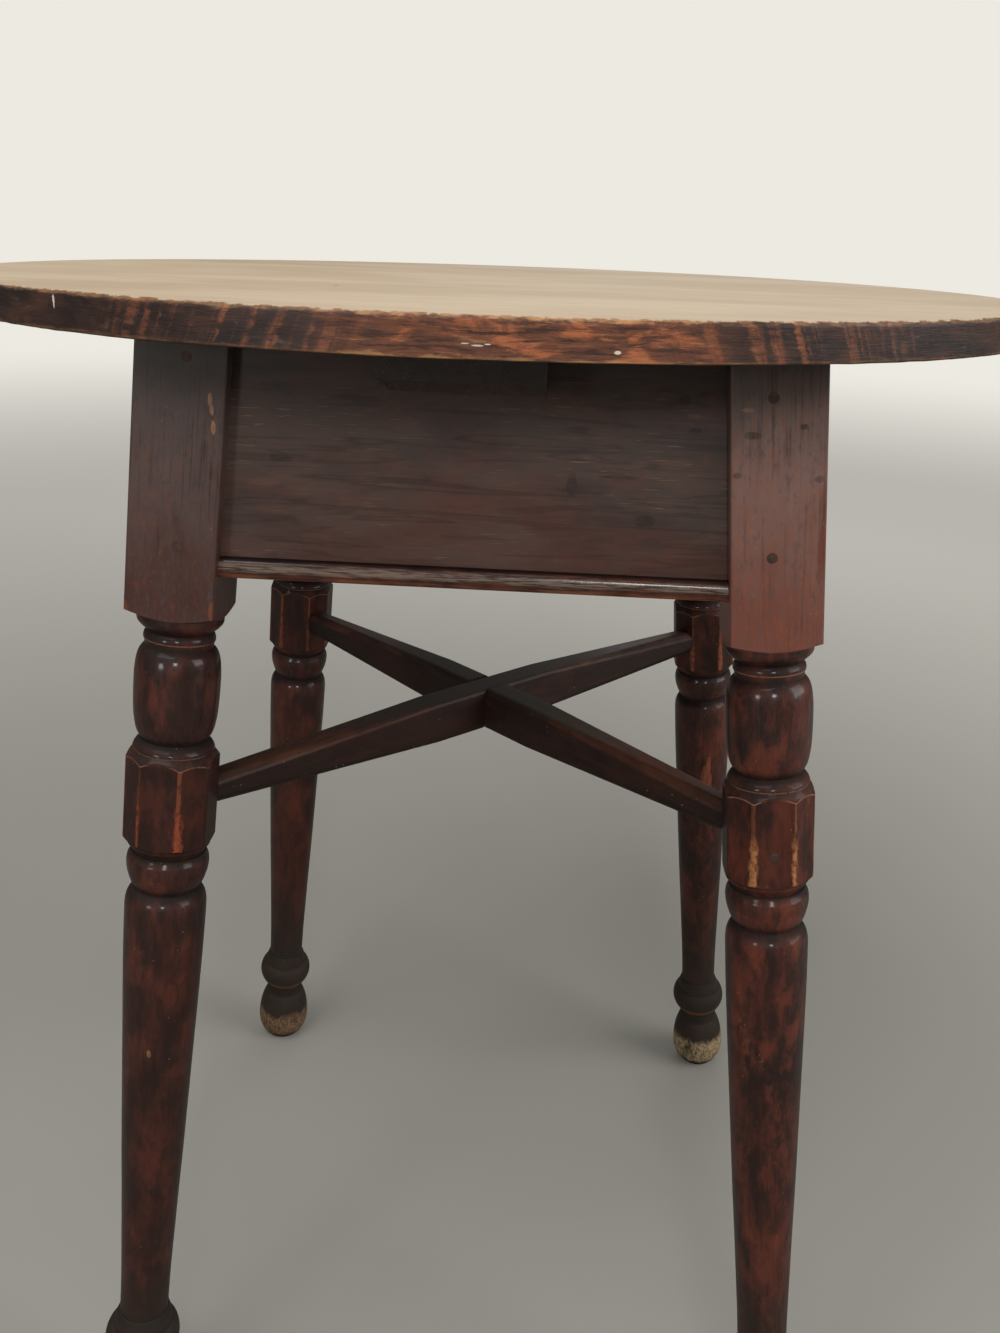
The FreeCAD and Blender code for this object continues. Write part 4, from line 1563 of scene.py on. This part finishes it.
TURNING = (
    Member(
        ((704.0, 34.6), (552.4, 34.6), (551.4, 32.3), (547.7, 22.9), (547.2, 22.4), (544.9, 22.4)),
        flowing=False,
    ),
    Member(
        (
            (544.9, 22.4), (544.1, 22.25), (543.0, 21.7), (541.8, 20.7), (540.6, 19.4), (539.5, 18.2),
            (538.6, 17.4), (538.3, 17.2),
        )
    ),
    Member(((538.3, 17.2), (537.7, 17.7), (536.6, 18.35), (535.2, 18.65), (534.1, 18.6))),
    Member(((534.1, 18.6), (533.7, 18.5), (533.3, 18.0), (530.9, 17.8), (530.2, 17.7)), flowing=False),
    Member(
        (
            (530.2, 17.7), (529.5, 18.7), (528.2, 19.8), (526.2, 20.8), (523.8, 21.5), (520.9, 22.0),
            (517.1, 22.35), (513.1, 22.5), (504.0, 22.45), (494.9, 22.1), (489.9, 21.6), (485.8, 20.9),
            (483.2, 20.2), (480.8, 19.1), (479.1, 18.0),
        )
    ),
    Member(((479.1, 18.0), (478.2, 17.8), (477.7, 18.4)), flowing=False),
    Member(((477.7, 18.4), (476.5, 20.0), (474.9, 21.1), (473.5, 21.6), (472.8, 21.5))),
    Member(
        ((472.8, 21.5), (472.4, 21.0), (472.0, 21.2), (470.7, 22.6), (467.2, 25.2), (465.9, 26.6)),
        flowing=False,
    ),
    Member(((465.9, 26.6), (422.2, 26.6), (421.1, 25.2), (419.4, 22.85)), flowing=False),
    Member(((419.4, 22.85), (419.0, 22.5), (417.8, 22.4), (417.2, 22.1)), flowing=False),
    Member(((417.2, 22.1), (416.0, 21.2), (414.3, 20.2), (412.8, 19.7))),
    Member(((412.8, 19.7), (412.6, 20.5), (411.1, 20.7)), flowing=False),
    Member(
        (
            (411.1, 20.7), (409.5, 21.8), (406.3, 22.3), (402.9, 22.1), (400.5, 21.7), (397.9, 21.0),
            (395.4, 20.2), (392.9, 19.1), (391.1, 18.2),
        )
    ),
    Member(((391.1, 18.2), (390.3, 18.2)), flowing=False),
    Member(((390.3, 18.2), (388.1, 20.0), (385.6, 21.3), (383.0, 22.0), (379.4, 22.3), (375.9, 22.3))),
    Member(
        (
            (375.9, 22.3), (360.9, 22.15), (347.7, 21.9), (321.5, 21.2), (295.3, 20.4), (268.1, 19.6),
            (239.9, 18.75), (211.7, 17.85), (183.4, 16.8), (153.2, 15.8), (123.0, 14.85), (96.3, 14.5),
        )
    ),
    Member(((96.3, 14.5), (95.9, 15.2), (94.9, 15.6)), flowing=False),
    Member(((94.9, 15.6), (91.5, 16.7), (88.0, 17.4), (85.6, 17.8))),
    Member(
        (
            (85.6, 17.8), (85.3, 18.9), (84.0, 20.3), (81.5, 21.5), (78.5, 22.3), (75.5, 22.6),
            (72.5, 22.3), (69.5, 21.4), (66.5, 20.0), (64.0, 18.2), (62.5, 17.0), (61.2, 16.4),
        )
    ),
    Member(
        ((61.2, 16.4), (60.6, 16.1), (52.5, 16.0), (51.5, 16.3), (51.0, 15.9), (50.5, 16.6)),
        flowing=False,
    ),
    Member(
        (
            (50.5, 16.6), (48.5, 17.5), (44.5, 19.0), (39.0, 20.6), (33.0, 21.7), (27.0, 22.4),
            (21.0, 22.6), (15.5, 22.1), (10.5, 20.9), (6.5, 19.1), (3.5, 17.1), (1.2, 15.2), (0.0, 14.3),
        )
    ),
    Member(((0.0, 14.3), (-6.0, 14.2)), flowing=False),
)


@dataclass
class Leg:
    """One splayed leg, turned from square stock; the four are made once and copied."""

    corners: tuple[str, ...] = ("front_right", "back_right", "back_left", "front_left")
    looks: dict[str, LegLook] = field(default_factory=lambda: Leg.own_looks())
    steps: int = 96
    pitch: float = 1.3
    arris: float = 1.0
    square_from: float = 499.5
    front_pegs: tuple[float, ...] = (592.0, 667.0)
    right_pegs: tuple[float, ...] = (584.0, 675.0)
    peg_inset: float = 20.0
    peg_hole_radius: float = 2.66
    peg_hole_length: float = 12.0
    stretcher_peg_drop: float = 2.5
    seed: float = 3.0
    seed_step: float = 7.0

    def build(self, finish: TurnedFinish) -> None:
        """Make the four legs and dress them.

        Args:
            finish: The finish of all four.
        """
        master = self.turned()
        carve(master, self.envelope(), "INTERSECT")
        carve(master, self.peg_holes(), "DIFFERENCE")
        smooth(master, 35.0)
        for turns, corner in enumerate(self.corners):
            leg = copy_of(master, f"turned_leg_{corner}", turns)
            look, seed = self.looks[corner], self.seed + self.seed_step * turns
            material = finish.material(f"turned_wood_{corner}", *self.lie(turns), look, seed)
            fit(leg, f"leg_{corner}", material)
        bpy.data.objects.remove(master)

    @staticmethod
    def own_looks() -> dict[str, LegLook]:
        """What sets each leg's finish apart.

        Returns:
            Each corner's look.
        """
        bruise = paint(46, 32, 29)
        chip = paint(182, 134, 98)
        orange = paint(150, 82, 50)
        rust = paint(112, 52, 34)
        right = (
            Mark((130.9, -166.0, 649.5), (4.0, 6.0, 2.0), bruise),
            Mark((154.4, -166.0, 654.6), (2.2, 6.0, 1.6), bruise),
            Mark((125.2, -166.0, 630.5), (2.4, 6.0, 1.6), bruise),
            Mark((164.0, -168.0, 630.6), (2.2, 6.0, 1.6), bruise),
            Mark((127.6, -166.0, 661.0), (3.0, 6.0, 1.0), chip, 0.4),
            Mark((170.0, -170.0, 604.0), (3.2, 5.0, 26.0), rust, 0.8),
            Mark((165.9, -185.4, 436.8), (1.3, 4.0, 1.3), bruise, 0.9),
            Mark((178.4, -179.0, 445.2), (1.3, 4.0, 1.3), bruise, 0.9),
        )
        left = (
            Mark((-127.6, -167.0, 655.8), (1.2, 5.0, 3.4), chip, 0.85),
            Mark((-126.8, -167.0, 650.6), (1.1, 5.0, 2.8), chip, 0.75),
            Mark((-126.4, -167.5, 642.6), (1.3, 5.0, 3.8), chip, 0.9),
            Mark((-129.6, -175.0, 551.0), (2.2, 3.0, 6.0), orange, 0.6),
            Mark((-175.0, -175.0, 551.0), (2.2, 3.0, 6.0), orange, 0.5),
            Mark((-174.5, -195.0, 292.5), (1.2, 5.0, 2.4), chip, 0.6),
        )
        back = (
            Mark((175.5, 153.0, 322.0), (2.6, 8.0, 20.0), orange, 0.8),
            Mark((172.0, 153.0, 316.0), (1.8, 8.0, 14.0), orange, 0.6),
            Mark((178.5, 153.0, 312.0), (1.6, 8.0, 12.0), orange, 0.6),
        )
        return {
            "front_right": LegLook(
                0.75,
                block=paint(160, 125, 115),
                low_block=paint(124, 68, 52),
                arris=paint(172, 114, 70),
                worn_side=(0.3, -0.95),
                dusty=200.0,
                marks=right,
            ),
            "back_right": LegLook(
                0.5, paint(108, 86, 78), paint(92, 54, 42), paint(140, 76, 48), 0.15, marks=back
            ),
            "back_left": LegLook(
                0.3, paint(96, 76, 70), paint(84, 48, 38), paint(104, 54, 38), 0.3, paint(134, 104, 76)
            ),
            "front_left": LegLook(
                0.25,
                block=paint(124, 105, 100),
                low_block=paint(72, 38, 30),
                arris=paint(142, 66, 40),
                shade=0.46,
                worn_side=(-0.3, -0.95),
                dusty=150.0,
                marks=left,
            ),
        }

    def turned(self) -> bpy.types.Object:
        """Turn the right front leg as it comes off the lathe, and lean it on its own axis.

        Returns:
            The leg, before it is cut to its stock.
        """
        bpy.ops.object.select_all(action="DESELECT")
        bpy.ops.mesh.primitive_plane_add(size=1.0 * MM, location=(0.0, 0.0, 0.0))
        piece = bpy.context.object
        piece.name = "leg_master"
        outline = [(TURNING[0].points[0][0], 0.0)]
        for member in TURNING:
            outline += [p for p in member.refined(self.pitch) if p != outline[-1]]
        outline.append((outline[-1][0], 0.0))
        with at_work(piece, Element.VERTEX):
            pick(piece, Element.VERTEX, lambda at: at.x > 0.0 or at.y > 0.0)
            bpy.ops.mesh.delete(type="VERT")
            bpy.ops.mesh.select_all(action="SELECT")
            bpy.ops.transform.translate(value=(0.5 * MM, 0.5 * MM, outline[0][0] * MM))
            for (high, wide), (low, next_wide) in zip(outline, outline[1:]):
                move = ((next_wide - wide) * MM, 0.0, (low - high) * MM)
                bpy.ops.mesh.extrude_region_move(TRANSFORM_OT_translate={"value": move})
            bpy.ops.mesh.select_all(action="SELECT")
            bpy.ops.mesh.spin(
                steps=self.steps, angle=math.tau, center=(0.0, 0.0, 0.0), axis=(0.0, 0.0, 1.0)
            )
            bpy.ops.mesh.select_all(action="SELECT")
            bpy.ops.mesh.remove_doubles(threshold=1e-6)
            bpy.ops.mesh.normals_make_consistent(inside=False)
        axis = Vector((-SLOPE, SLOPE, 1.0))
        piece.rotation_mode = "QUATERNION"
        piece.rotation_quaternion = Vector((0, 0, 1)).rotation_difference(axis)
        piece.location = Vector((SPREAD_AT_FLOOR, -SPREAD_AT_FLOOR, 0.0)) * MM
        settle(piece)
        piece.rotation_mode = "XYZ"
        return piece

    def stock(self, name: str, low: float, high: float, chamfer: float = 0.0) -> bpy.types.Object:
        """A leaning length of the leg's stock.

        Args:
            name: The object's name.
            low: Its lower end's height, in millimetres.
            high: Its upper end's height, in millimetres.
            chamfer: How far its four arrises are cut back.

        Returns:
            The stock with its arrises worn round.
        """
        at, half = spread(low), STOCK_IN_PLAN
        piece = block(name, (at - half, -at - half, low), (at + half, -at + half, high))
        shift = (high - low) * SLOPE
        nudge(piece, lambda v: v.z > (low + high) / 2, (-shift, shift, 0.0))
        if chamfer:
            bevel_edges(piece, lambda a, b: abs(a.z - b.z) > 1.0, chamfer)
        bevel_edges(piece, lambda a, b: abs(a.z - b.z) > 1.0, self.arris, 3)
        return piece

    def envelope(self) -> bpy.types.Object:
        """The stock's faceted shape: octagonal up to the vase and square above it.

        Returns:
            The shape that the leg is cut to.
        """
        square = self.stock("stock_square", self.square_from, TOP_UNDERSIDE)
        octagonal = self.stock("stock_octagonal", 0.0, self.square_from, OCTAGON_CHAMFER)
        carve(square, octagonal, "UNION")
        return square

    def peg_holes(self) -> bpy.types.Object:
        """Shallow holes round the ends of the pegs that come through the leg's two outer faces.

        Returns:
            The holes, as one tool.
        """
        bores = []
        for height in self.front_pegs:
            bores.append(self.peg_hole(spread(height) - STOCK_IN_PLAN + self.peg_inset, height))
        for height in self.right_pegs:
            hole = self.peg_hole(-(spread(height) - STOCK_IN_PLAN + self.peg_inset), height)
            hole.rotation_euler = (0.0, 0.0, math.radians(90.0))
            bores.append(settle(hole))
        height = STRETCHER_HEIGHT - self.stretcher_peg_drop
        bores.append(self.peg_hole(spread(height), height))
        return joined(*bores)

    def peg_hole(self, x: float, height: float) -> bpy.types.Object:
        """What is bored out of the leg's front face round one peg.

        Args:
            x: The peg's X, in millimetres.
            height: Its height, in millimetres.

        Returns:
            The tool.
        """
        mouth = Vector((x, -spread(height) - STOCK_IN_PLAN, height))
        inwards = Vector((0.0, 1.0, -SLOPE)).normalized()
        return rod("peg_hole", self.peg_hole_radius, self.peg_hole_length, mouth, inwards, 20)

    @staticmethod
    def lie(turns: int) -> tuple[Place, Place]:
        """Where a leg's axis meets the floor, and the turn that lays X along it.

        Args:
            turns: Right angles from the right front leg.

        Returns:
            The foot, in millimetres, and the Euler angles.
        """
        about = Matrix.Rotation(math.radians(90.0 * turns), 3, "Z")
        foot = about @ Vector((SPREAD_AT_FLOOR, -SPREAD_AT_FLOOR, 0.0))
        axis = (about @ Vector((-SLOPE, SLOPE, 1.0))).normalized()
        east = Vector((1.0, 0.0, 0.0))
        east = (east - axis * east.dot(axis)).normalized()
        frame = Matrix((axis, east, axis.cross(east))).transposed()
        return tuple(foot), tuple(frame.to_euler())


@dataclass
class Top:
    """The round top: three boards sawn from one disc with a worn rim."""

    segments: int = 720
    radius: float = TOP_RADIUS - 0.1
    upper_round: float = 2.2
    lower_round: float = 1.1
    rim_rows: tuple[float, ...] = (694.2, 696.2, 698.2, 700.2, 702.2, 704.2)
    peg_columns: tuple[float, ...] = (-73.0, 73.0)
    peg_row: float = 140.5
    peg_hole_radius: float = 3.25
    peg_hole_length: float = 10.0
    dent: float = 0.55
    seed_step: float = 13.0

    def build(self, finish: ScrubbedTop) -> None:
        """Make the three boards and dress them.

        Args:
            finish: The finish of all three.
        """
        disc = self.disc()
        edges = {
            "front": (None, FRONT_JOINT),
            "middle": (FRONT_JOINT, BACK_JOINT),
            "back": (BACK_JOINT, None),
        }
        for index, (name, (low, high)) in enumerate(edges.items()):
            board = copy_of(disc, f"scrubbed_board_{name}", 0)
            if low is not None:
                saw(board, (0.0, low, 0.0), (0.0, -1.0, 0.0))
            if high is not None:
                saw(board, (0.0, high, 0.0), (0.0, 1.0, 0.0))
            if name != "middle":
                carve(board, self.peg_holes(-1.0 if name == "front" else 1.0), "DIFFERENCE")
            smooth(board, 40.0)
            material = finish.material(f"scrubbed_{name}", self.seed_step * index)
            fit(board, f"top_board_{name}", material)
        bpy.data.objects.remove(disc)

    def disc(self) -> bpy.types.Object:
        """The whole top with rounded arrises and a knocked rim.

        Returns:
            The disc.
        """
        middle = (0.0, 0.0, TABLE_HEIGHT - TOP_THICKNESS / 2)
        piece = rod("top_disc", self.radius, TOP_THICKNESS, middle, Vector((0, 0, 1)), self.segments)
        bevel_edges(piece, lambda a, b: min(a.z, b.z) > TABLE_HEIGHT - NEAR, self.upper_round, 5)
        bevel_edges(piece, lambda a, b: max(a.z, b.z) < TOP_UNDERSIDE + NEAR, self.lower_round, 3)
        for row in self.rim_rows:
            score(piece, (0.0, 0.0, row), (0.0, 0.0, 1.0))
        rim = piece.vertex_groups.new(name="rim")
        inner = (self.radius - self.upper_round * 0.9) * MM
        rim.add([v.index for v in piece.data.vertices if v.co.xy.length > inner], 1.0, "REPLACE")
        dents = bpy.data.textures.new("rim_dents", "CLOUDS")
        dents.noise_scale = 0.007
        dents.noise_depth = 3
        apply_modifier(
            piece,
            "DISPLACE",
            texture=dents,
            texture_coords="LOCAL",
            strength=self.dent * MM,
            mid_level=0.9,
            vertex_group="rim",
        )
        return piece

    def peg_holes(self, side: float) -> bpy.types.Object:
        """Shallow holes round the ends of the pegs in an outer board.

        Args:
            side: -1 for the front board and 1 for the back one.

        Returns:
            The holes, as one tool.
        """
        up = Vector((0, 0, 1))
        size = (self.peg_hole_radius, self.peg_hole_length)
        mouths = [(x, side * self.peg_row, TABLE_HEIGHT) for x in self.peg_columns]
        return joined(*[rod("top_peg_hole", *size, mouth, up, 24) for mouth in mouths])


@dataclass
class Bearer:
    """The board from front to back under the top, with bevelled ends and one broken corner."""

    low: tuple[float, float, float] = (-46.5, -185.85, 665.5)
    high: tuple[float, float, float] = (33.5, 185.85, TOP_UNDERSIDE)
    end_bevel: float = 5.0
    rows: Sequence[float] = range(-160, 161, 20)
    easing: float = 0.9
    # Where the painted shade under the top starts and where it is full.
    board_top_shade: tuple[float, float] = (648.0, 698.0)
    warmth: float = 0.1
    seed: float = 61.0

    def build(self, finish: BoardFinish) -> None:
        """Make the bearer and dress it.

        Args:
            finish: Its finish.
        """
        piece = block("notched_bearer", self.low, self.high)
        reach, floor = self.high[1], self.low[2]
        bevel_edges(
            piece,
            lambda a, b: max(a.z, b.z) < floor + NEAR and abs(a.y + b.y) > reach,
            self.end_bevel,
        )
        for row in self.rows:
            score(piece, (0.0, float(row), 0.0), (0.0, 1.0, 0.0))
        carve(piece, self.break_tool(), "DIFFERENCE")
        ease(piece, self.easing, 2, 30.0)
        smooth(piece, 40.0)
        turn = math.radians(90.0)
        material = finish.material("bearer_wood", turn, self.board_top_shade, self.warmth, self.seed)
        fit(piece, "bearer", material)

    def break_tool(self) -> bpy.types.Object:
        """The shape of what is broken off the lower left corner of the front end.

        Returns:
            The tool that breaks it off.
        """
        left, front, floor = self.low
        low, high = (left - 4, front - 4, floor - 4), (left + 10, front + 19, floor + 4.6)
        tool = block("broken_corner", low, high)
        nudge(tool, lambda v: v.z > floor and v.x > left, (-1.6, 0.0, -1.2))
        nudge(tool, lambda v: v.z > floor and v.x < left and v.y < front, (0.0, 0.0, 2.2))
        nudge(tool, lambda v: v.y > front and v.x > left, (-5.0, 0.0, 0.0))
        with at_work(tool, Element.FACE):
            bpy.ops.mesh.select_all(action="SELECT")
            bpy.ops.mesh.subdivide(number_cuts=3)
            bpy.ops.transform.vertex_random(offset=0.45 * MM, seed=4)
        return tool


@dataclass
class Beads:
    """Half-round beads planted along the aprons' lower edges."""

    height: float = 11.0
    proud: float = 3.6
    uncut_length: float = 400.0
    row_pitch: float = 21.0
    seed: float = 71.0
    seed_step: float = 3.0

    def build(self, finish: BeadFinish) -> None:
        """Make one bead, copy it to the other sides and dress all four.

        Args:
            finish: Their finish.
        """
        master = self.front()
        for turns, side in enumerate(SIDES):
            bead = copy_of(master, f"planted_bead_{side}", turns)
            seed = self.seed + self.seed_step * turns
            material = finish.material(f"bead_wood_{side}", math.radians(90.0 * turns), seed)
            fit(bead, f"bead_{side}", material)
        bpy.data.objects.remove(master)

    def front(self) -> bpy.types.Object:
        """The front bead between the two front legs' blocks.

        Returns:
            The bead.
        """
        middle = APRON_BOTTOM + self.height / 2
        face = -spread(middle) - APRON_FACE
        piece = rod("bead_master", 1.0, self.uncut_length, (0.0, 0.0, 0.0), Vector((1, 0, 0)), 72)
        piece.scale = (1.0, self.proud / LEAN, self.height / 2)
        settle(piece)
        piece.rotation_euler = (-math.atan(SLOPE), 0.0, 0.0)
        piece.location = (0.0, face * MM, middle * MM)
        settle(piece)
        saw(piece, (0.0, face, middle), (0.0, 1.0, -SLOPE))
        for side in (-1.0, 1.0):
            at = side * (spread(middle) - STOCK_IN_PLAN)
            saw(piece, (at, 0.0, middle), (side, 0.0, SLOPE))
        for step in range(-5, 6):
            score(piece, (step * self.row_pitch, 0.0, 0.0), (1.0, 0.0, 0.0))
        smooth(piece, 50.0)
        return piece


@dataclass
class CrossStretchers:
    """Two bars halved over each other, deep in the middle and whittled round towards the legs."""

    thickness: float = 20.0
    depth: float = 28.5
    shoulder: float = 48.0
    arris: float = 2.2
    end_size: float = 16.4
    let_in: float = 3.5
    easing: float = 1.9
    seeds: tuple[float, float] = (78.0, 88.0)

    def build(self, finish: StretcherFinish) -> None:
        """Make both bars and dress them.

        Args:
            finish: The finish of both.
        """
        bars = (("lower", -45.0, True), ("upper", 45.0, False))
        for (name, degrees, notch_above), seed in zip(bars, self.seeds):
            bar = self.bar(f"cross_bar_{name}")
            self.notch(bar, notch_above)
            turn = math.radians(degrees)
            bar.rotation_euler = (0.0, 0.0, turn)
            bar.location = (0.0, 0.0, STRETCHER_HEIGHT * MM)
            settle(bar)
            smooth(bar, 30.0)
            fit(
                bar,
                f"stretcher_{name}",
                finish.material(f"stretcher_wood_{name}", turn, seed),
            )

    def bar(self, name: str) -> bpy.types.Object:
        """One bar along X, with its chamfers widening until its ends are eight-sided.

        Args:
            name: The object's name.

        Returns:
            The bar, before it is halved.
        """
        chamfer_face = (2 * HALF_STOCK - OCTAGON_CHAMFER) / math.sqrt(2.0) * LEAN
        face = spread(STRETCHER_HEIGHT) * math.sqrt(2.0) - chamfer_face
        tip = face + self.end_size
        eighth = math.radians(22.5)
        radius = self.end_size / 2 / math.cos(eighth)
        half, deep = self.thickness / 2, self.depth / 2
        piece = block(name, (-self.shoulder, -half, -deep), (self.shoulder, half, deep))
        bevel_edges(piece, lambda a, b: abs(a.x - b.x) > 1.0, self.arris)
        stubs = []
        for side in (-1.0, 1.0):
            stub = rod("stub", radius, 2.0, (side * (tip + 1.0), 0.0, 0.0), Vector((1, 0, 0)), 8)
            stub.rotation_euler = (eighth, 0.0, 0.0)
            stubs.append(settle(stub))
        piece = joined(piece, *stubs)
        for side in (-1.0, 1.0):
            ends = (side * self.shoulder, side * tip)
            with at_work(piece, Element.FACE):
                pick(
                    piece,
                    Element.FACE,
                    lambda at, normal: abs(normal.x) > 0.9 and min(abs(at.x - x) for x in ends) < NEAR,
                )
                bpy.ops.mesh.bridge_edge_loops()
        for side in (-1.0, 1.0):
            saw(piece, (side * (face + self.let_in), 0.0, 0.0), (side, 0.0, 0.0))
        with at_work(piece, Element.FACE):
            bpy.ops.mesh.select_all(action="SELECT")
            bpy.ops.mesh.normals_make_consistent(inside=False)
        ease(piece, self.easing, 3, 14.0)
        return piece

    def notch(self, bar: bpy.types.Object, above: bool) -> None:
        """Cut half of the halving out of a bar.

        Args:
            bar: The bar along X.
            above: True to cut from above.
        """
        half = self.thickness / 2
        low, high = (0.0, self.depth) if above else (-self.depth, 0.0)
        tool = block("notch", (-half, -2 * half, low), (half, 2 * half, high))
        carve(bar, tool, "DIFFERENCE")


@dataclass
class KeptNodes:
    """The frame's own aprons, pegs, pins and nails, which only get a finish."""

    nodes: dict[str, bpy.types.Object]

    def dress(self, name: str, material: bpy.types.Material) -> None:
        """Give a frame node a material.

        Args:
            name: The node's name.
            material: The material.
        """
        mesh = self.nodes[name].data
        mesh.materials.clear()
        mesh.materials.append(material)
        LOG.info("%s dressed", name)

    def build(self, boards: BoardFinish) -> None:
        """Dress every node that is kept.

        Args:
            boards: The aprons' finish.
        """
        for turns, side in enumerate(SIDES):
            material = boards.material(
                f"apron_wood_{side}",
                turn=math.radians(90.0 * turns),
                # Where the painted shade under the top starts and where it is full.
                heights=(630.0, 720.0),
                warmth=0.4,
                seed=91.0 + turns,
                marks=boards.front_marks() if side == "front" else (),
            )
            self.dress(f"apron_{side}", material)
        dark_pegs = PegFinish(paint(66, 47, 41), paint(86, 62, 53)).material("dark_pegs")
        pale_pegs = PegFinish(paint(176, 152, 120), paint(198, 176, 146)).material("pale_pegs")
        iron = RustyIron().material("rusty_iron")
        for name, material in (
            ("apron_pegs", dark_pegs),
            ("stretcher_pegs", dark_pegs),
            ("top_pegs", pale_pegs),
            ("bead_pins", iron),
            ("bearer_nails", iron),
        ):
            self.dress(name, material)


# ==== the studio ==================================================================================


@dataclass
class Studio:
    """Camera, lamps, floor and background."""

    eye: tuple[float, float, float] = (41.6, -719.4, 736.4)
    pitch: float = -20.716
    yaw: float = -2.668
    roll: float = 2.018
    lens: float = 31.222
    floor_reach: float = 9.0
    background: Colour = paint(236, 234, 225)
    floor_near: Colour = paint(160, 158, 150)
    floor_far: Colour = paint(216, 214, 205)
    daylight: Colour = (1.0, 0.985, 0.96, 1.0)
    ambient: float = 0.28
    mirrored: float = 0.1

    def build(self) -> None:
        """Set up everything that isn't part of the table."""
        self.camera()
        self.lamps()
        self.floor()
        self.world()
        bpy.context.scene.view_settings.view_transform = "Standard"

    def camera(self) -> None:
        """Put the camera where it looks slightly down on the front."""
        pitch, yaw, roll = (math.radians(v) for v in (self.pitch, self.yaw, self.roll))
        forward = Vector(
            (math.sin(yaw) * math.cos(pitch), math.cos(yaw) * math.cos(pitch), math.sin(pitch))
        )
        level = Vector((math.cos(yaw), -math.sin(yaw), 0.0))
        upright = level.cross(forward)
        right = level * math.cos(roll) + upright * math.sin(roll)
        up = upright * math.cos(roll) - level * math.sin(roll)
        data = bpy.data.cameras.new("camera")
        data.lens = self.lens
        data.sensor_width = 36.0
        data.clip_start = 0.02
        camera = bpy.data.objects.new("camera", data)
        bpy.context.scene.collection.objects.link(camera)
        camera.matrix_world = Matrix.Translation(Vector(self.eye) * MM) @ (
            Matrix((right, up, -forward)).transposed().to_4x4()
        )
        bpy.context.scene.camera = camera

    def lamps(self) -> None:
        """Hang a large soft lamp above the front, two small ones before it, and soft fills."""
        for name, place, target, size, power in (
            ("softbox", (-0.5, -0.9, 2.3), (0.0, 0.0, 0.5), 1.5, 26.0),
            ("front", (0.3, -2.6, 1.45), (0.0, 0.0, 0.5), 0.35, 10.0),
            ("low", (-0.73, -1.19, 0.77), (0.0, 0.0, 0.5), 0.22, 1.6),
            ("right", (2.2, -0.5, 1.5), (0.0, 0.0, 0.3), 1.6, 30.0),
            ("back", (0.4, 2.4, 1.8), (0.0, 0.0, 0.4), 1.8, 10.0),
        ):
            data = bpy.data.lights.new(name, "AREA")
            data.size = size
            data.energy = power
            lamp = bpy.data.objects.new(name, data)
            bpy.context.scene.collection.objects.link(lamp)
            lamp.location = place
            lamp.rotation_euler = (Vector(target) - Vector(place)).to_track_quat("-Z", "Y").to_euler()

    def floor(self) -> None:
        """Lay a plain floor that fades into the background."""
        bpy.ops.object.select_all(action="DESELECT")
        bpy.ops.mesh.primitive_circle_add(vertices=96, radius=self.floor_reach, fill_type="NGON")
        floor = bpy.context.object
        floor.name = "floor"
        shader = Shader("studio_floor")
        distance = shader.length(shader.place())
        shade = shader.mix(distance.rise(0.5, 2.6), self.floor_near, self.floor_far)
        matt = shader.node("ShaderNodeBsdfDiffuse", values={"Color": shade})
        glow = shader.node("ShaderNodeEmission", values={"Color": self.background, "Strength": 1.0})
        camera, glossy = self.light_paths(shader)
        near = shader.node("ShaderNodeMixShader", values={0: glossy * 0.6, 1: matt})
        far = distance.rise(0.8, 7.0) * camera
        shader.close(shader.node("ShaderNodeMixShader", values={0: far, 1: near, 2: glow}))
        floor.data.materials.append(shader.material)

    def world(self) -> None:
        """Light the room evenly and show the plain background to the camera."""
        world = bpy.data.worlds.new("studio")
        world.use_nodes = True
        bpy.context.scene.world = world
        room = NodeTree(world.node_tree, "ShaderNodeOutputWorld")
        seen, soft, dim = (
            room.node("ShaderNodeBackground", values={"Color": colour, "Strength": strength})
            for colour, strength in (
                (self.background, 1.0),
                (self.daylight, self.ambient),
                (self.daylight, self.mirrored),
            )
        )
        camera, glossy = self.light_paths(room)
        around = room.node("ShaderNodeMixShader", values={0: glossy, 1: soft, 2: dim})
        room.close(room.node("ShaderNodeMixShader", values={0: camera, 1: around, 2: seen}))

    @staticmethod
    def light_paths(tree: NodeTree) -> tuple[Wire, Wire]:
        """Whether the camera looks straight at a point, and whether it is seen in a shiny one."""
        camera = tree.node("ShaderNodeLightPath", output="Is Camera Ray")
        return camera, tree.node("ShaderNodeLightPath", output="Is Glossy Ray")


def main() -> None:
    """Load the frame, build the table's looks around it and set up the studio."""
    logging.basicConfig(level=logging.INFO, format="%(name)s: %(message)s")
    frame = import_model()
    Leg().build(TurnedFinish())
    Top().build(ScrubbedTop())
    Bearer().build(BoardFinish())
    Beads().build(BeadFinish())
    CrossStretchers().build(StretcherFinish())
    KeptNodes(frame["nodes"]).build(BoardFinish())
    Studio().build()


if __name__ == "__main__":
    main()
